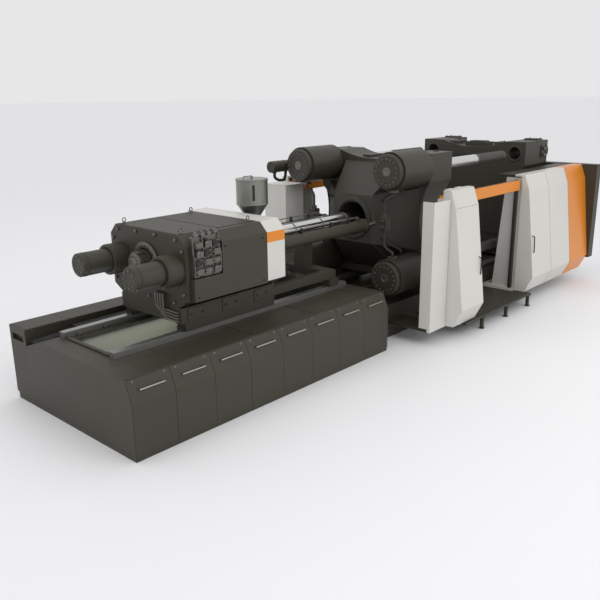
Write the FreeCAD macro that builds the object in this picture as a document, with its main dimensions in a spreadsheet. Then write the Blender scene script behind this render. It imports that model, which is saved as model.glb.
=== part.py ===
# Injection moulding machine with two platens and a horizontal injection unit.
# Everything is in millimetres. X runs along the machine from the injection end (low X) to the
# clamping end (high X), Y runs across it with the operator's side at low Y, and Z is up from
# the floor. The X sizes in the table are counted from the injection end; each shape is then
# moved back by half the machine's length, so that the origin is under its middle.
import FreeCAD
import Part
import os
import re
import Sketcher

doc = FreeCAD.newDocument("injection_moulding_machine")

SIZES = {
    # the whole machine
    "length_all": 13240,
    "axis_z": 2177,
    # injection base with its folded service covers
    "base_end": 5520,
    "base_half_width": 1612,
    "base_top": 1110,
    "base_bend_z": 814,
    "base_bend_in": 122,
    "deck_far_edge": 732,
    "trough_far_z": 960,
    "duct_in": 1128,
    "duct_top": 1213,
    "toe_top": 103,
    "toe_in": 52,
    "well_start": 430,
    "well_end": 5300,
    "well_half": 470,
    "slot_deep": 60,
    "slot_in": 1200,
    "slot_out": 1540,
    "slot_low": 1000,
    "slot_high": 1100,
    "cover_pitch": 690,
    "cover_seam": 6,
    "cover_thick": 12,
    "cover_gap": 0.3,
    "seam_gap": 2,
    "cover_low": 60,
    "cover_high": 1104,
    "handle_long": 400,
    "handle_radius": 10,
    "handle_out": 1587,
    "handle_root": 1540,
    "handle_z": 975,
    "handle_post": 16,
    # rails for the injection carriage
    "rail_in": 600,
    "rail_out": 720,
    "rail_start": 350,
    "rail_end": 5400,
    "rail_top": 1200,
    # clamp base and its ways
    "clamp_base_end": 13200,
    "clamp_base_half": 1200,
    "clamp_base_top": 650,
    "way_in": 850,
    "way_out": 1050,
    "way_start": 8600,
    "way_end": 12900,
    "way_top": 700,
    # carriage frame
    "shoe_in": 560,
    "shoe_out": 760,
    "shoe_top": 1330,
    "bed_top": 1570,
    "beam_top": 1480,
    "beam_out": 700,
    "stay_start": 4880,
    "stay_end": 5120,
    "stay_half": 130,
    "stay_top": 2060,
    # injection housing and its covers
    "housing_start": 1508,
    "housing_end": 3440,
    "housing_half": 930,
    "housing_top": 2662,
    "housing_low_z": 1700,
    "housing_low_half": 706,
    "housing_bevel": 150,
    "drive_bore_end": 2700,
    "side_start": 1570,
    "side_notch_end": 2110,
    "side_notch_z": 2040,
    "side_out": 100,
    "front_start": 3043,
    "front_low": 1730,
    "front_lip": 12,
    # hydraulic manifold in the side cover's notch
    "manifold_start": 1590,
    "manifold_end": 2095,
    "manifold_low": 2050,
    "manifold_high": 2640,
    "manifold_deep": 70,
    "valve_long": 120,
    "valve_tall": 90,
    "valve_out": 60,
    "valve_pitch_x": 160,
    "valve_pitch_z": 130,
    # injection cylinders on the rear of the housing
    "inj_cyl_y": 667,
    "inj_cyl_z": 2150,
    "inj_cyl_radius": 180,
    "inj_cyl_start": 731,
    "inj_collar_start": 1250,
    "inj_collar_radius": 240,
    "inj_cap_radius": 168,
    "inj_cap_long": 14,
    # screw drive and screw
    "drive_start": 1420,
    "drive_end": 1900,
    "drive_radius": 190,
    "motor_start": 1300,
    "motor_radius": 150,
    "run_gap": 0.5,
    "shank_radius": 60,
    "flight_start": 3100,
    "flight_end": 7000,
    "flight_radius": 74.5,
    "screw_end": 7150,
    "inject_stroke": 400,
    # barrel, nozzle, heater bands and shield
    "barrel_start": 2710,
    "barrel_end": 7600,
    "barrel_radius": 120,
    "barrel_bore": 75,
    "nozzle_root_radius": 110,
    "nozzle_cone_end": 7760,
    "nozzle_end": 7865,
    "nozzle_radius": 45,
    "nozzle_bore": 12,
    "band_radius": 136,
    "band_long": 260,
    "band_pitch": 450,
    "band_first": 4050,
    "band_gap": 0.4,
    "shield_start": 3900,
    "shield_end": 6900,
    "shield_radius": 150,
    "shield_thick": 4,
    "shield_ring": 20,
    # feed throat, gate, hopper and lid
    "feed_x": 3730,
    "throat_half_x": 150,
    "throat_half_y": 200,
    "throat_low": 1990,
    "throat_top": 2470,
    "feed_radius": 70,
    "gate_thick": 18,
    "gate_half_x": 90,
    "gate_back": 300,
    "gate_front": 260,
    "gate_grip": 30,
    "hopper_flange_radius": 150,
    "hopper_flange_thick": 22,
    "hopper_neck_radius": 90,
    "hopper_bend_z": 2790,
    "hopper_radius": 270,
    "hopper_top": 3200,
    "hopper_wall": 8,
    "lid_thick": 15,
    "lid_over": 6,
    "knob_radius": 22,
    "knob_tall": 40,
    # cylinders that pull the carriage up to the platen
    "pull_y": 500,
    "pull_z": 2120,
    "pull_radius": 110,
    "pull_bore": 80,
    "pull_end": 6240,
    "pull_wall": 60,
    "pull_rod": 45,
    "pull_piston_start": 4000,
    "pull_piston_long": 150,
    # tie bars
    "bar_y": 1101,
    "bar_up": 1010,
    "bar_radius": 108,
    "bar_root": 95,
    "bar_start": 6400,
    "bar_end": 10580,
    "tooth_pitch": 60,
    "tooth_land": 29,
    "tooth_count": 21,
    "piston_start": 6560,
    "piston_end": 6760,
    "piston_radius": 239.5,
    # clamping cylinders and caps
    "clamp_cap_start": 6087,
    "clamp_cap_end": 6187,
    "clamp_cap_radius": 325,
    "clamp_cap_round": 40,
    "clamp_radius": 360,
    "clamp_bore": 240,
    # stationary platen
    "platen_back": 7140,
    "platen_face": 7930,
    "platen_half": 1371,
    "platen_corner": 270,
    "platen_top_dip": 150,
    "platen_side_dip": 200,
    "boss_start": 6500,
    "boss_half_y": 480,
    "boss_half_z": 480,
    "rib_half_y": 700,
    "rib_low": 1050,
    "rib_high": 3240,
    "wing_half_y": 1140,
    "wing_low": 1560,
    "wing_high": 2790,
    "pocket_end": 7780,
    "pocket_radius": 330,
    "nozzle_hole": 90,
    "locating_radius": 125,
    "locating_deep": 60,
    "mould_hole_radius": 15,
    "mould_hole_deep": 80,
    "mould_hole_half": 500,
    "foot_start": 7200,
    "foot_end": 7900,
    # moving platen, its lock housings and lock nuts
    "moving_face": 11213,
    "moving_back": 11813,
    "lock_end": 12400,
    "lock_nose_end": 12560,
    "lock_nose_radius": 230,
    "guide_radius": 140,
    "pocket_start": 11990,
    "pocket_stop": 12330,
    "nut_start": 12010,
    "nut_end": 12310,
    "nut_half_z": 150,
    "nut_thick": 169,
    "nut_open": 60,
    "nut_split": 1,
    "nut_root": 110,
    "nut_tip": 96,
    "nut_tooth": 28,
    "nut_first": 9,
    "platen_stroke": 2280,
    "lug_start": 11300,
    "lug_end": 11760,
    "top_box_start": 11350,
    "top_box_end": 11750,
    "top_box_half": 280,
    "top_box_low": 3200,
    "top_box_high": 3415,
    "shoe_back": 12300,
    # ejector
    "ejector_radius": 50,
    "ejector_tip": 11220,
    "ejector_plate": 12100,
    "ejector_plate_thick": 80,
    "ejector_plate_half": 300,
    # cylinders that move the platen
    "travel_y": 500,
    "travel_z": 790,
    "travel_radius": 80,
    "travel_bore": 60,
    "travel_rod": 40,
    "travel_start": 6300,
    "travel_end": 8900,
    "travel_piston": 8750,
    "travel_piston_long": 80,
    "travel_wall": 40,
    "saddle_half": 100,
    # valve on the far top clamping cylinder
    "valve_body_start": 5790,
    "valve_body_end": 6300,
    "valve_body_y": 1590,
    "valve_body_z": 3150,
    "valve_body_radius": 115,
    "valve_foot_start": 6200,
    # guards: one folded outline shared by doors and fixed panels
    "skin_top_y": 2024,
    "skin_top_z": 2861,
    "skin_bend_y": 2141,
    "skin_bend_z": 2542,
    "skin_wide_y": 2372,
    "skin_wide_z": 641,
    "skin_low_y": 2195,
    "skin_low_z": 293,
    "skin_thick": 40,
    "skin_lip": 40,
    "skin_lip_shift": 15,
    "skin_return_y": 1800,
    "leaf_out": 90,
    "plate_in": 1955,
    "plate_thick": 40,
    "leaf_start": 6688,
    "hanger_in": 10,
    "hanger_long": 200,
    "hanger_end": 150,
    "hanger_gap": 0.3,
    "leaf_end": 7511,
    "door_start": 9880,
    "door_end": 11912,
    "end_guard_start": 11916,
    "cabinet_start": 12984,
    "cabinet_half": 2410,
    "cabinet_low": 570,
    "cabinet_top": 2860,
    "frame_start": 9900,
    "frame_thick": 40,
    "frame_top": 2800,
    "frame_low_y": 1400,
    "frame_top_y": 1600,
    "frame_out": 1945,
    "roof_in": 1400,
    "roof_out": 1799.7,
    "roof_top": 2851,
    "sill_start": 9810,
    "sill_top": 343,
    "step_top": 283,
    "step_thick": 40,
    "step_out": 2336,
    "step_start": 7100,
    "step_end": 9950,
    "step_leg": 60,
    "leg_1": 7774,
    "leg_2": 8804,
    "leg_3": 9832,
    "post_start": 9820,
    "post_end": 9890,
    "post_in": 1825,
    "post_out": 1895,
    "rail_beam_in": 1880,
    "rail_beam_out": 1950,
    "rail_beam_low": 2540,
    "rail_beam_high": 2757,
    "panel_start": 6128,
    "panel_end": 6680,
    "panel_out": 2122,
    "panel_top": 2705,
    "panel_return_y": 1886,
    "panel_post_start": 6620,
    "far_box_in": 1500,
    "far_box_top": 2750,
}

sheet = doc.addObject("Spreadsheet::Sheet", "dims")
row = 1
for alias, value in SIZES.items():
    sheet.set("A%d" % row, alias)
    sheet.set("B%d" % row, str(value))
    sheet.setAlias("B%d" % row, alias)
    row += 1
doc.recompute()

ALONG_X = FreeCAD.Rotation(FreeCAD.Vector(0, 1, 0), 90)
TURN_Z = FreeCAD.Rotation(FreeCAD.Vector(0, 0, 1), 90)


def sized(text):
    """Turn a formula over size names into an expression that reads the sheet."""
    return re.sub(r"[a-z_]+[a-z0-9_]*", lambda word: "dims." + word.group(0), str(text))


def bind(obj, path, text):
    obj.setExpression(path, sized(text))


def place(obj, x, y, z, turn=None):
    """Put a shape at (x, y, z), with x counted from the injection end."""
    if turn is not None:
        obj.Placement = FreeCAD.Placement(FreeCAD.Vector(0, 0, 0), turn)
    bind(obj, "Placement.Base.x", "(%s) - length_all / 2" % x)
    bind(obj, "Placement.Base.y", y)
    bind(obj, "Placement.Base.z", z)


def box(name, x0, x1, y0, y1, z0, z1):
    obj = doc.addObject("Part::Box", name)
    bind(obj, "Length", "(%s) - (%s)" % (x1, x0))
    bind(obj, "Width", "(%s) - (%s)" % (y1, y0))
    bind(obj, "Height", "(%s) - (%s)" % (z1, z0))
    place(obj, x0, y0, z0)
    return obj


def rod(name, x0, x1, y, z, radius):
    """Cylinder lying along X."""
    obj = doc.addObject("Part::Cylinder", name)
    bind(obj, "Radius", radius)
    bind(obj, "Height", "(%s) - (%s)" % (x1, x0))
    place(obj, x0, y, z, ALONG_X)
    return obj


def taper(name, x0, x1, y, z, radius_0, radius_1):
    """Cone lying along X."""
    obj = doc.addObject("Part::Cone", name)
    bind(obj, "Radius1", radius_0)
    bind(obj, "Radius2", radius_1)
    bind(obj, "Height", "(%s) - (%s)" % (x1, x0))
    place(obj, x0, y, z, ALONG_X)
    return obj


def post(name, x, y, z0, z1, radius):
    """Upright cylinder."""
    obj = doc.addObject("Part::Cylinder", name)
    bind(obj, "Radius", radius)
    bind(obj, "Height", "(%s) - (%s)" % (z1, z0))
    place(obj, x, y, z0)
    return obj


def funnel(name, x, y, z0, z1, radius_0, radius_1):
    """Upright cone."""
    obj = doc.addObject("Part::Cone", name)
    bind(obj, "Radius1", radius_0)
    bind(obj, "Radius2", radius_1)
    bind(obj, "Height", "(%s) - (%s)" % (z1, z0))
    place(obj, x, y, z0)
    return obj


def fuse(name, shapes):
    obj = doc.addObject("Part::MultiFuse", name)
    obj.Shapes = shapes
    return obj


def cut(name, base, tools):
    tool = tools[0]
    if len(tools) > 1:
        tool = fuse(name + "_tools", tools)
    obj = doc.addObject("Part::Cut", name)
    obj.Base = base
    obj.Tool = tool
    return obj


def group(name, shapes):
    obj = doc.addObject("Part::Compound", name)
    obj.Links = shapes
    return obj


def across(name, source, y="0"):
    """Mirror image of a shape on the other side of the plane at this y."""
    obj = doc.addObject("Part::Mirroring", name)
    obj.Source = source
    obj.Normal = (0, 1, 0)
    if y != "0":
        bind(obj, "Base.y", y)
    return obj


def above(name, source):
    """Mirror image of a shape above the machine's axis."""
    obj = doc.addObject("Part::Mirroring", name)
    obj.Source = source
    obj.Normal = (0, 0, 1)
    bind(obj, "Base.z", "axis_z")
    return obj


def four(name, source):
    """The shape at all four corners: near and far side, below and above the axis."""
    low = group(name + "_low", [source, across(name + "_far", source)])
    return group(name, [low, above(name + "_high", low)])


def folded(name, x0, x1, points):
    """Body with the outline (y, z) given by the points, extruded from x0 to x1."""
    body = doc.addObject("PartDesign::Body", name)
    sketch = body.newObject("Sketcher::SketchObject", name + "_outline")
    plane = [item for item in body.Origin.OriginFeatures if item.Role == "YZ_Plane"][0]
    sketch.AttachmentSupport = [(plane, "")]
    sketch.MapMode = "FlatFace"
    values = []
    for pair in points:
        values.append([size_of(pair[0]), size_of(pair[1])])
    count = len(points)
    for index in range(count):
        here = FreeCAD.Vector(values[index][0], values[index][1], 0)
        after = values[(index + 1) % count]
        sketch.addGeometry(Part.LineSegment(here, FreeCAD.Vector(after[0], after[1], 0)), False)
    for index in range(count):
        joined = Sketcher.Constraint("Coincident", index, 2, (index + 1) % count, 1)
        sketch.addConstraint(joined)
    for index in range(count):
        for kind, axis in (("DistanceX", 0), ("DistanceY", 1)):
            size = values[index][axis]
            number = sketch.addConstraint(Sketcher.Constraint(kind, -1, 1, index, 1, size))
            bind(sketch, "Constraints[%d]" % number, points[index][axis])
    pad = body.newObject("PartDesign::Pad", name + "_pad")
    pad.Profile = sketch
    bind(pad, "Length", "(%s) - (%s)" % (x1, x0))
    bind(body, "Placement.Base.x", "(%s) - length_all / 2" % x0)
    return body


def size_of(text):
    """Value of a formula over size names, worked out by the sheet itself."""
    probe = doc.getObject("probe")
    if probe is None:
        probe = doc.addObject("Spreadsheet::Sheet", "probe")
    return float(probe.evalExpression(sized(text)))


# Injection base: welded frame round an open well, with a trough along the far side.
base_frame = folded("base_frame", "0", "base_end", [
    ("-(base_half_width - cover_thick - cover_gap)", "0"),
    ("-(base_half_width - cover_thick - cover_gap)", "base_bend_z"),
    ("-(base_half_width - base_bend_in - cover_thick - cover_gap)", "base_top"),
    ("deck_far_edge", "base_top"),
    ("duct_in", "trough_far_z"),
    ("duct_in", "toe_top"),
    ("base_half_width - toe_in", "toe_top"),
    ("base_half_width - toe_in", "0"),
])
base_well = box("base_well", "well_start", "well_end", "-well_half", "well_half", "-1", "base_top + 1")
injection_base = cut("injection_base", base_frame, [base_well])

duct_block = box("duct_block", "0", "base_end", "duct_in", "base_half_width", "toe_top", "duct_top")
duct_slot = box("duct_slot", "-1", "slot_deep", "slot_in", "slot_out", "slot_low", "slot_high")
cable_duct = cut("cable_duct", duct_block, [duct_slot])

near_rail = box("near_rail", "rail_start", "rail_end", "-rail_out", "-rail_in", "base_top", "rail_top")
carriage_rails = group("carriage_rails", [near_rail, across("far_rail", near_rail)])

# Folded service covers along the operator's side, each with its bar handle.
service_covers = []
for number in range(8):
    tag = "service_cover_%d" % (number + 1)
    start = "%d * cover_pitch + cover_seam / 2" % number
    stop = "%d * cover_pitch - cover_seam / 2" % (number + 1)
    lean = "(cover_high - base_bend_z) / (base_top - base_bend_z) * base_bend_in"
    sheet_metal = folded(tag + "_sheet", start, stop, [
        ("-base_half_width", "cover_low"),
        ("-base_half_width", "base_bend_z"),
        ("-base_half_width + " + lean, "cover_high"),
        ("-base_half_width + cover_thick + " + lean, "cover_high"),
        ("-base_half_width + cover_thick", "base_bend_z"),
        ("-base_half_width + cover_thick", "cover_low"),
    ])
    middle = "%d.5 * cover_pitch" % number
    bar_start = middle + " - handle_long / 2"
    bar_stop = middle + " + handle_long / 2"
    bar = rod(tag + "_bar", bar_start, bar_stop, "-handle_out", "handle_z", "handle_radius")
    shapes = [sheet_metal, bar]
    for side, offset in (("a", "- handle_long / 2 + handle_post"),
                         ("b", "+ handle_long / 2 - 2 * handle_post")):
        foot = middle + " " + offset
        shapes.append(box(
            tag + "_post_" + side, foot, foot + " + handle_post",
            "-handle_out", "-handle_root", "handle_z - handle_post / 2", "handle_z + handle_post / 2"))
    service_covers.append(fuse(tag, shapes))

# Clamp base with two ways for the moving platen.
clamp_base = box(
    "clamp_base", "base_end", "clamp_base_end",
    "-clamp_base_half", "clamp_base_half", "0", "clamp_base_top")
near_way = box("near_way", "way_start", "way_end", "-way_out", "-way_in", "clamp_base_top", "way_top")
platen_ways = group("platen_ways", [near_way, across("far_way", near_way)])

# Carriage frame: bed, four shoes, two beams and the barrel's front stay.
bed = box("bed", "housing_start", "housing_end", "-shoe_out", "shoe_out", "shoe_top", "bed_top")
near_shoe = box("near_shoe", "side_start", "housing_end", "-shoe_out", "-shoe_in", "rail_top", "shoe_top")
near_beam = box("near_beam", "housing_end", "stay_end", "-beam_out", "-shoe_in", "shoe_top", "beam_top")
near_toe = box("near_toe", "stay_start", "stay_end", "-shoe_out", "-shoe_in", "rail_top", "shoe_top")
stay_plate = box("stay_plate", "stay_start", "stay_end", "-beam_out", "beam_out", "shoe_top", "beam_top")
stay_post = box("stay_post", "stay_start", "stay_end", "-stay_half", "stay_half", "beam_top", "stay_top")
stay_seat = rod("stay_seat", "stay_start - 1", "stay_end + 1", "0", "axis_z", "shield_radius + run_gap")
carriage_frame = cut("carriage_frame", fuse("carriage_frame_solid", [
    bed, near_shoe, across("far_shoe", near_shoe), near_beam, across("far_beam", near_beam),
    near_toe, across("far_toe", near_toe), stay_plate, stay_post]), [stay_seat])

# Injection housing with bevelled edges, bored for the drive and the barrel.
housing_block = folded("housing_block", "housing_start", "housing_end", [
    ("-housing_low_half", "bed_top"),
    ("-housing_half", "housing_low_z"),
    ("-housing_half", "housing_top - housing_bevel"),
    ("-housing_half + housing_bevel", "housing_top"),
    ("housing_half - housing_bevel", "housing_top"),
    ("housing_half", "housing_top - housing_bevel"),
    ("housing_half", "housing_low_z"),
    ("housing_low_half", "bed_top"),
])
drive_bore = rod(
    "drive_bore", "housing_start - 1", "drive_bore_end", "0", "axis_z", "drive_radius + run_gap")
barrel_seat = rod("barrel_seat", "drive_bore_end", "housing_end + 1", "0", "axis_z", "barrel_radius + 0.4")
injection_housing = cut("injection_housing", housing_block, [drive_bore, barrel_seat])

# Near side cover, stepped round the valve manifold.
side_band = folded("side_band", "side_start", "front_start - seam_gap", [
    ("-housing_half", "housing_low_z"),
    ("-housing_half - side_out", "housing_low_z"),
    ("-housing_half - side_out", "housing_top - housing_bevel"),
    ("-housing_half - side_out + housing_bevel", "housing_top"),
    ("-housing_half + housing_bevel", "housing_top"),
    ("-housing_half", "housing_top - housing_bevel"),
])
side_notch = box(
    "side_notch", "side_start - 1", "side_notch_end",
    "-housing_half - side_out - 1", "0", "side_notch_z", "housing_top + 1")
side_cover = cut("side_cover", side_band, [side_notch])

# Front cover: one folded arch over the front of the housing.
front_cover = folded("front_cover", "front_start", "housing_end", [
    ("-housing_half", "front_low"),
    ("-housing_half - side_out", "front_low"),
    ("-housing_half - side_out", "housing_top - housing_bevel"),
    ("-housing_half - side_out + housing_bevel", "housing_top + front_lip"),
    ("housing_half + side_out - housing_bevel", "housing_top + front_lip"),
    ("housing_half + side_out", "housing_top - housing_bevel"),
    ("housing_half + side_out", "front_low"),
    ("housing_half", "front_low"),
    ("housing_half", "housing_top - housing_bevel"),
    ("housing_half - housing_bevel", "housing_top"),
    ("-housing_half + housing_bevel", "housing_top"),
    ("-housing_half", "housing_top - housing_bevel"),
])

# Valve manifold: a drilled block with three rows of valve bodies.
valve_shapes = [box(
    "manifold_block", "manifold_start", "manifold_end",
    "-housing_half - manifold_deep", "-housing_half", "manifold_low", "manifold_high")]
for column in range(3):
    for level in range(4):
        valve_x = "manifold_start + 30 + %d * valve_pitch_x" % column
        valve_z = "manifold_low + 40 + %d * valve_pitch_z" % level
        valve_reach = "-housing_half - manifold_deep - valve_out * %s" % ("1", "0.6")[(column + level) % 2]
        valve_shapes.append(box(
            "valve_%d_%d" % (column, level), valve_x, valve_x + " + valve_long",
            valve_reach, "-housing_half - manifold_deep", valve_z, valve_z + " + valve_tall"))
valve_manifold = fuse("valve_manifold", valve_shapes)

# Injection cylinders.
inj_parts = [
    rod("inj_tube", "inj_cyl_start + inj_cap_long", "inj_collar_start",
        "-inj_cyl_y", "inj_cyl_z", "inj_cyl_radius"),
    rod("inj_collar", "inj_collar_start", "housing_start", "-inj_cyl_y", "inj_cyl_z", "inj_collar_radius"),
    taper("inj_cap", "inj_cyl_start", "inj_cyl_start + inj_cap_long",
          "-inj_cyl_y", "inj_cyl_z", "inj_cap_radius", "inj_cyl_radius"),
]
near_injection_cylinder = fuse("near_injection_cylinder", inj_parts)
far_injection_cylinder = across("far_injection_cylinder", near_injection_cylinder)

# Screw drive and screw.
screw_drive = fuse("screw_drive", [
    rod("drive_body", "drive_start", "drive_end", "0", "axis_z", "drive_radius"),
    rod("drive_motor", "motor_start", "drive_start", "0", "axis_z", "motor_radius"),
])
screw = fuse("screw", [
    rod("screw_shank", "drive_end", "flight_start", "0", "axis_z", "shank_radius"),
    rod("screw_flights", "flight_start", "flight_end", "0", "axis_z", "flight_radius"),
    taper("screw_tip", "flight_end", "screw_end", "0", "axis_z", "flight_radius", "nozzle_bore"),
])

# Barrel, nozzle, heater bands and shield.
barrel = cut("barrel", rod("barrel_tube", "barrel_start", "barrel_end", "0", "axis_z", "barrel_radius"), [
    rod("barrel_hole", "barrel_start - 1", "barrel_end + 1", "0", "axis_z", "barrel_bore"),
    post("barrel_feed", "feed_x", "0", "axis_z", "axis_z + 2 * barrel_radius", "feed_radius"),
])
nozzle = cut("nozzle", fuse("nozzle_solid", [
    taper("nozzle_cone", "barrel_end", "nozzle_cone_end", "0", "axis_z",
          "nozzle_root_radius", "nozzle_radius"),
    rod("nozzle_tip", "nozzle_cone_end", "nozzle_end", "0", "axis_z", "nozzle_radius"),
]), [rod("nozzle_channel", "barrel_end - 1", "nozzle_end + 1", "0", "axis_z", "nozzle_bore")])
bands = []
for number in range(6):
    band_x = "band_first + %d * band_pitch" % number
    band_disc = rod("band_disc_%d" % number, band_x, band_x + " + band_long", "0", "axis_z", "band_radius")
    band_hole = rod("band_hole_%d" % number, band_x + " - 1", band_x + " + band_long + 1",
                    "0", "axis_z", "barrel_radius + band_gap")
    bands.append(cut("band_%d" % number, band_disc, [band_hole]))
heater_bands = group("heater_bands", bands)
shield_outer = rod("shield_outer", "shield_start", "shield_end", "0", "axis_z", "shield_radius")
shield_room = rod("shield_room", "shield_start + shield_ring", "shield_end - shield_ring",
                  "0", "axis_z", "shield_radius - shield_thick")
shield_hole = rod("shield_hole", "shield_start - 1", "shield_end + 1", "0", "axis_z", "barrel_radius + 0.4")
barrel_shield = cut("barrel_shield", shield_outer, [shield_room, shield_hole])

# Feed throat, gate, hopper and lid.
throat_sides = []
for side, low, high in (("rear", "-throat_half_x", "-gate_half_x - run_gap"),
                        ("front", "gate_half_x + run_gap", "throat_half_x")):
    throat_sides.append(box(
        "gate_guide_" + side, "feed_x + (%s)" % low, "feed_x + (%s)" % high,
        "-throat_half_y", "throat_half_y", "throat_top", "throat_top + gate_thick"))
throat_block = box(
    "throat_block", "feed_x - throat_half_x", "feed_x + throat_half_x",
    "-throat_half_y", "throat_half_y", "throat_low", "throat_top")
feed_throat = cut("feed_throat", fuse("feed_throat_solid", [throat_block] + throat_sides), [
    rod("throat_bore", "feed_x - throat_half_x - 1", "feed_x + throat_half_x + 1",
        "0", "axis_z", "barrel_radius + 0.4"),
    post("throat_feed", "feed_x", "0", "axis_z", "throat_top + gate_thick + 1", "feed_radius"),
])
gate_plate = box(
    "gate_plate", "feed_x - gate_half_x", "feed_x + gate_half_x",
    "-gate_back", "gate_front", "throat_top", "throat_top + gate_thick")
gate_grip = box(
    "gate_grip_bar", "feed_x - gate_half_x / 2", "feed_x + gate_half_x / 2",
    "-gate_back - gate_grip", "-gate_back", "throat_top", "throat_top + gate_thick")
gate_hole = post("gate_hole", "feed_x", "0", "throat_top - 1", "throat_top + gate_thick + 1", "feed_radius")
hopper_gate = cut("hopper_gate", fuse("hopper_gate_solid", [gate_plate, gate_grip]), [gate_hole])
flange_low = "throat_top + gate_thick"
flange_high = "throat_top + gate_thick + hopper_flange_thick"
hopper = cut("hopper", fuse("hopper_solid", [
    post("hopper_flange", "feed_x", "0", flange_low, flange_high, "hopper_flange_radius"),
    funnel("hopper_cone", "feed_x", "0", flange_high, "hopper_bend_z", "hopper_neck_radius", "hopper_radius"),
    post("hopper_drum", "feed_x", "0", "hopper_bend_z", "hopper_top", "hopper_radius"),
]), [
    post("hopper_throat", "feed_x", "0", flange_low + " - 1", flange_high + " + 1",
         "hopper_neck_radius - hopper_wall"),
    funnel("hopper_cone_room", "feed_x", "0", flange_high, "hopper_bend_z",
           "hopper_neck_radius - hopper_wall", "hopper_radius - hopper_wall"),
    post("hopper_drum_room", "feed_x", "0", "hopper_bend_z", "hopper_top + 1",
         "hopper_radius - hopper_wall"),
])
hopper_lid = fuse("hopper_lid", [
    post("lid_disc", "feed_x", "0", "hopper_top", "hopper_top + lid_thick", "hopper_radius + lid_over"),
    post("lid_knob", "feed_x", "0", "hopper_top + lid_thick", "hopper_top + lid_thick + knob_tall",
         "knob_radius"),
])

# Pull-in cylinders on the carriage, with rods held by the platen.
pull_tube = cut(
    "pull_tube", rod("pull_outer", "housing_end", "pull_end", "-pull_y", "pull_z", "pull_radius"), [
        rod("pull_room", "housing_end + pull_wall", "pull_end - pull_wall", "-pull_y", "pull_z", "pull_bore"),
        rod("pull_gland", "pull_end - pull_wall - 1", "pull_end + 1", "-pull_y", "pull_z",
            "pull_rod + run_gap"),
    ])
pull_cylinders = group("pull_cylinders", [pull_tube, across("pull_tube_far", pull_tube)])
pull_shaft = fuse("pull_shaft", [
    rod("pull_bar", "pull_piston_start", "boss_start + 400", "-pull_y", "pull_z", "pull_rod"),
    rod("pull_head", "pull_piston_start", "pull_piston_start + pull_piston_long", "-pull_y", "pull_z",
        "pull_bore - run_gap"),
])

# Stationary platen: concave plate, tapered boss and ribs, feet and bores.


def concave_plate(name, x0, x1):
    """Platen plate whose top and side edges dip between the four corners."""
    plate = box(name + "_block", x0, x1, "-platen_half", "platen_half",
                "axis_z - bar_up - platen_corner", "axis_z + bar_up + platen_corner")
    span_y = "(platen_half - 2 * platen_corner)"
    top_radius = "(%s * %s + platen_top_dip * platen_top_dip) / (2 * platen_top_dip)" % (span_y, span_y)
    top_dip = rod(
        name + "_top_dip", x0 + " - 1", x1 + " + 1", "0",
        "axis_z + bar_up + platen_corner - platen_top_dip + " + top_radius, top_radius)
    span_z = "(bar_up - platen_corner)"
    side_square = "platen_side_dip * platen_side_dip"
    side_radius = "(%s * %s + %s) / (2 * platen_side_dip)" % (span_z, span_z, side_square)
    side_dip = rod(
        name + "_side_dip", x0 + " - 1", x1 + " + 1",
        "-(platen_half - platen_side_dip + %s)" % side_radius, "axis_z", side_radius)
    return cut(name, plate, [top_dip, side_dip, across(name + "_side_dip_far", side_dip)])


def wedge(name, x_wide, x_narrow, wide, narrow):
    """Block that tapers along X; wide and narrow are (half width, low z, high z)."""
    obj = doc.addObject("Part::Wedge", name)
    obj.Placement = FreeCAD.Placement(FreeCAD.Vector(0, 0, 0), TURN_Z)
    bind(obj, "Ymin", "0")
    bind(obj, "Ymax", "(%s) - (%s)" % (x_wide, x_narrow))
    bind(obj, "Xmin", "-(%s)" % wide[0])
    bind(obj, "Xmax", wide[0])
    bind(obj, "Zmin", wide[1])
    bind(obj, "Zmax", wide[2])
    bind(obj, "X2min", "-(%s)" % narrow[0])
    bind(obj, "X2max", narrow[0])
    bind(obj, "Z2min", narrow[1])
    bind(obj, "Z2max", narrow[2])
    bind(obj, "Placement.Base.x", "(%s) - length_all / 2" % x_wide)
    return obj


def mould_holes(name, x0, x1):
    """Four fixing holes for a mould, on a square round the axis."""
    hole = rod(name + "_hole", x0, x1, "-mould_hole_half", "axis_z - mould_hole_half", "mould_hole_radius")
    low = group(name + "_hole_pair", [hole, across(name + "_hole_far", hole)])
    return [low, above(name + "_hole_top", low)]


boss_tip = ("boss_half_y", "axis_z - boss_half_z", "axis_z + boss_half_z")
fixed_plate = concave_plate("fixed_plate", "platen_back", "platen_face")
upright_root = ("rib_half_y", "rib_low", "rib_high")
level_root = ("wing_half_y", "wing_low", "wing_high")
upright_rib = wedge("upright_rib", "platen_back", "boss_start", upright_root, boss_tip)
level_rib = wedge("level_rib", "platen_back", "boss_start", level_root, boss_tip)
near_foot = box("near_foot", "foot_start", "foot_end", "-clamp_base_half", "-way_in",
                "clamp_base_top", "axis_z - bar_up - platen_corner + 1")
fixed_bores = rod("fixed_bore", "boss_start", "platen_face + 1", "-bar_y", "axis_z - bar_up",
                  "bar_radius + run_gap")
stationary_solid = fuse("stationary_solid", [
    fixed_plate, upright_rib, level_rib, near_foot, across("far_foot", near_foot)])
pull_anchor = rod("pull_anchor", "boss_start - 1", "boss_start + 400", "-pull_y", "pull_z",
                  "pull_rod + 0.4")
stationary_platen = cut("stationary_platen", stationary_solid, [
    rod("platen_pocket", "boss_start - 1", "pocket_end", "0", "axis_z", "pocket_radius"),
    rod("platen_nozzle_hole", "pocket_end - 1", "platen_face", "0", "axis_z", "nozzle_hole"),
    rod("platen_locating", "platen_face - locating_deep", "platen_face + 1", "0", "axis_z",
        "locating_radius"),
    four("fixed_bores", fixed_bores),
    pull_anchor, across("pull_anchor_far", pull_anchor),
] + mould_holes("fixed", "platen_face - mould_hole_deep", "platen_face + 1"))
pull_rods = group("pull_rods", [pull_shaft, across("pull_shaft_far", pull_shaft)])

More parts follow.
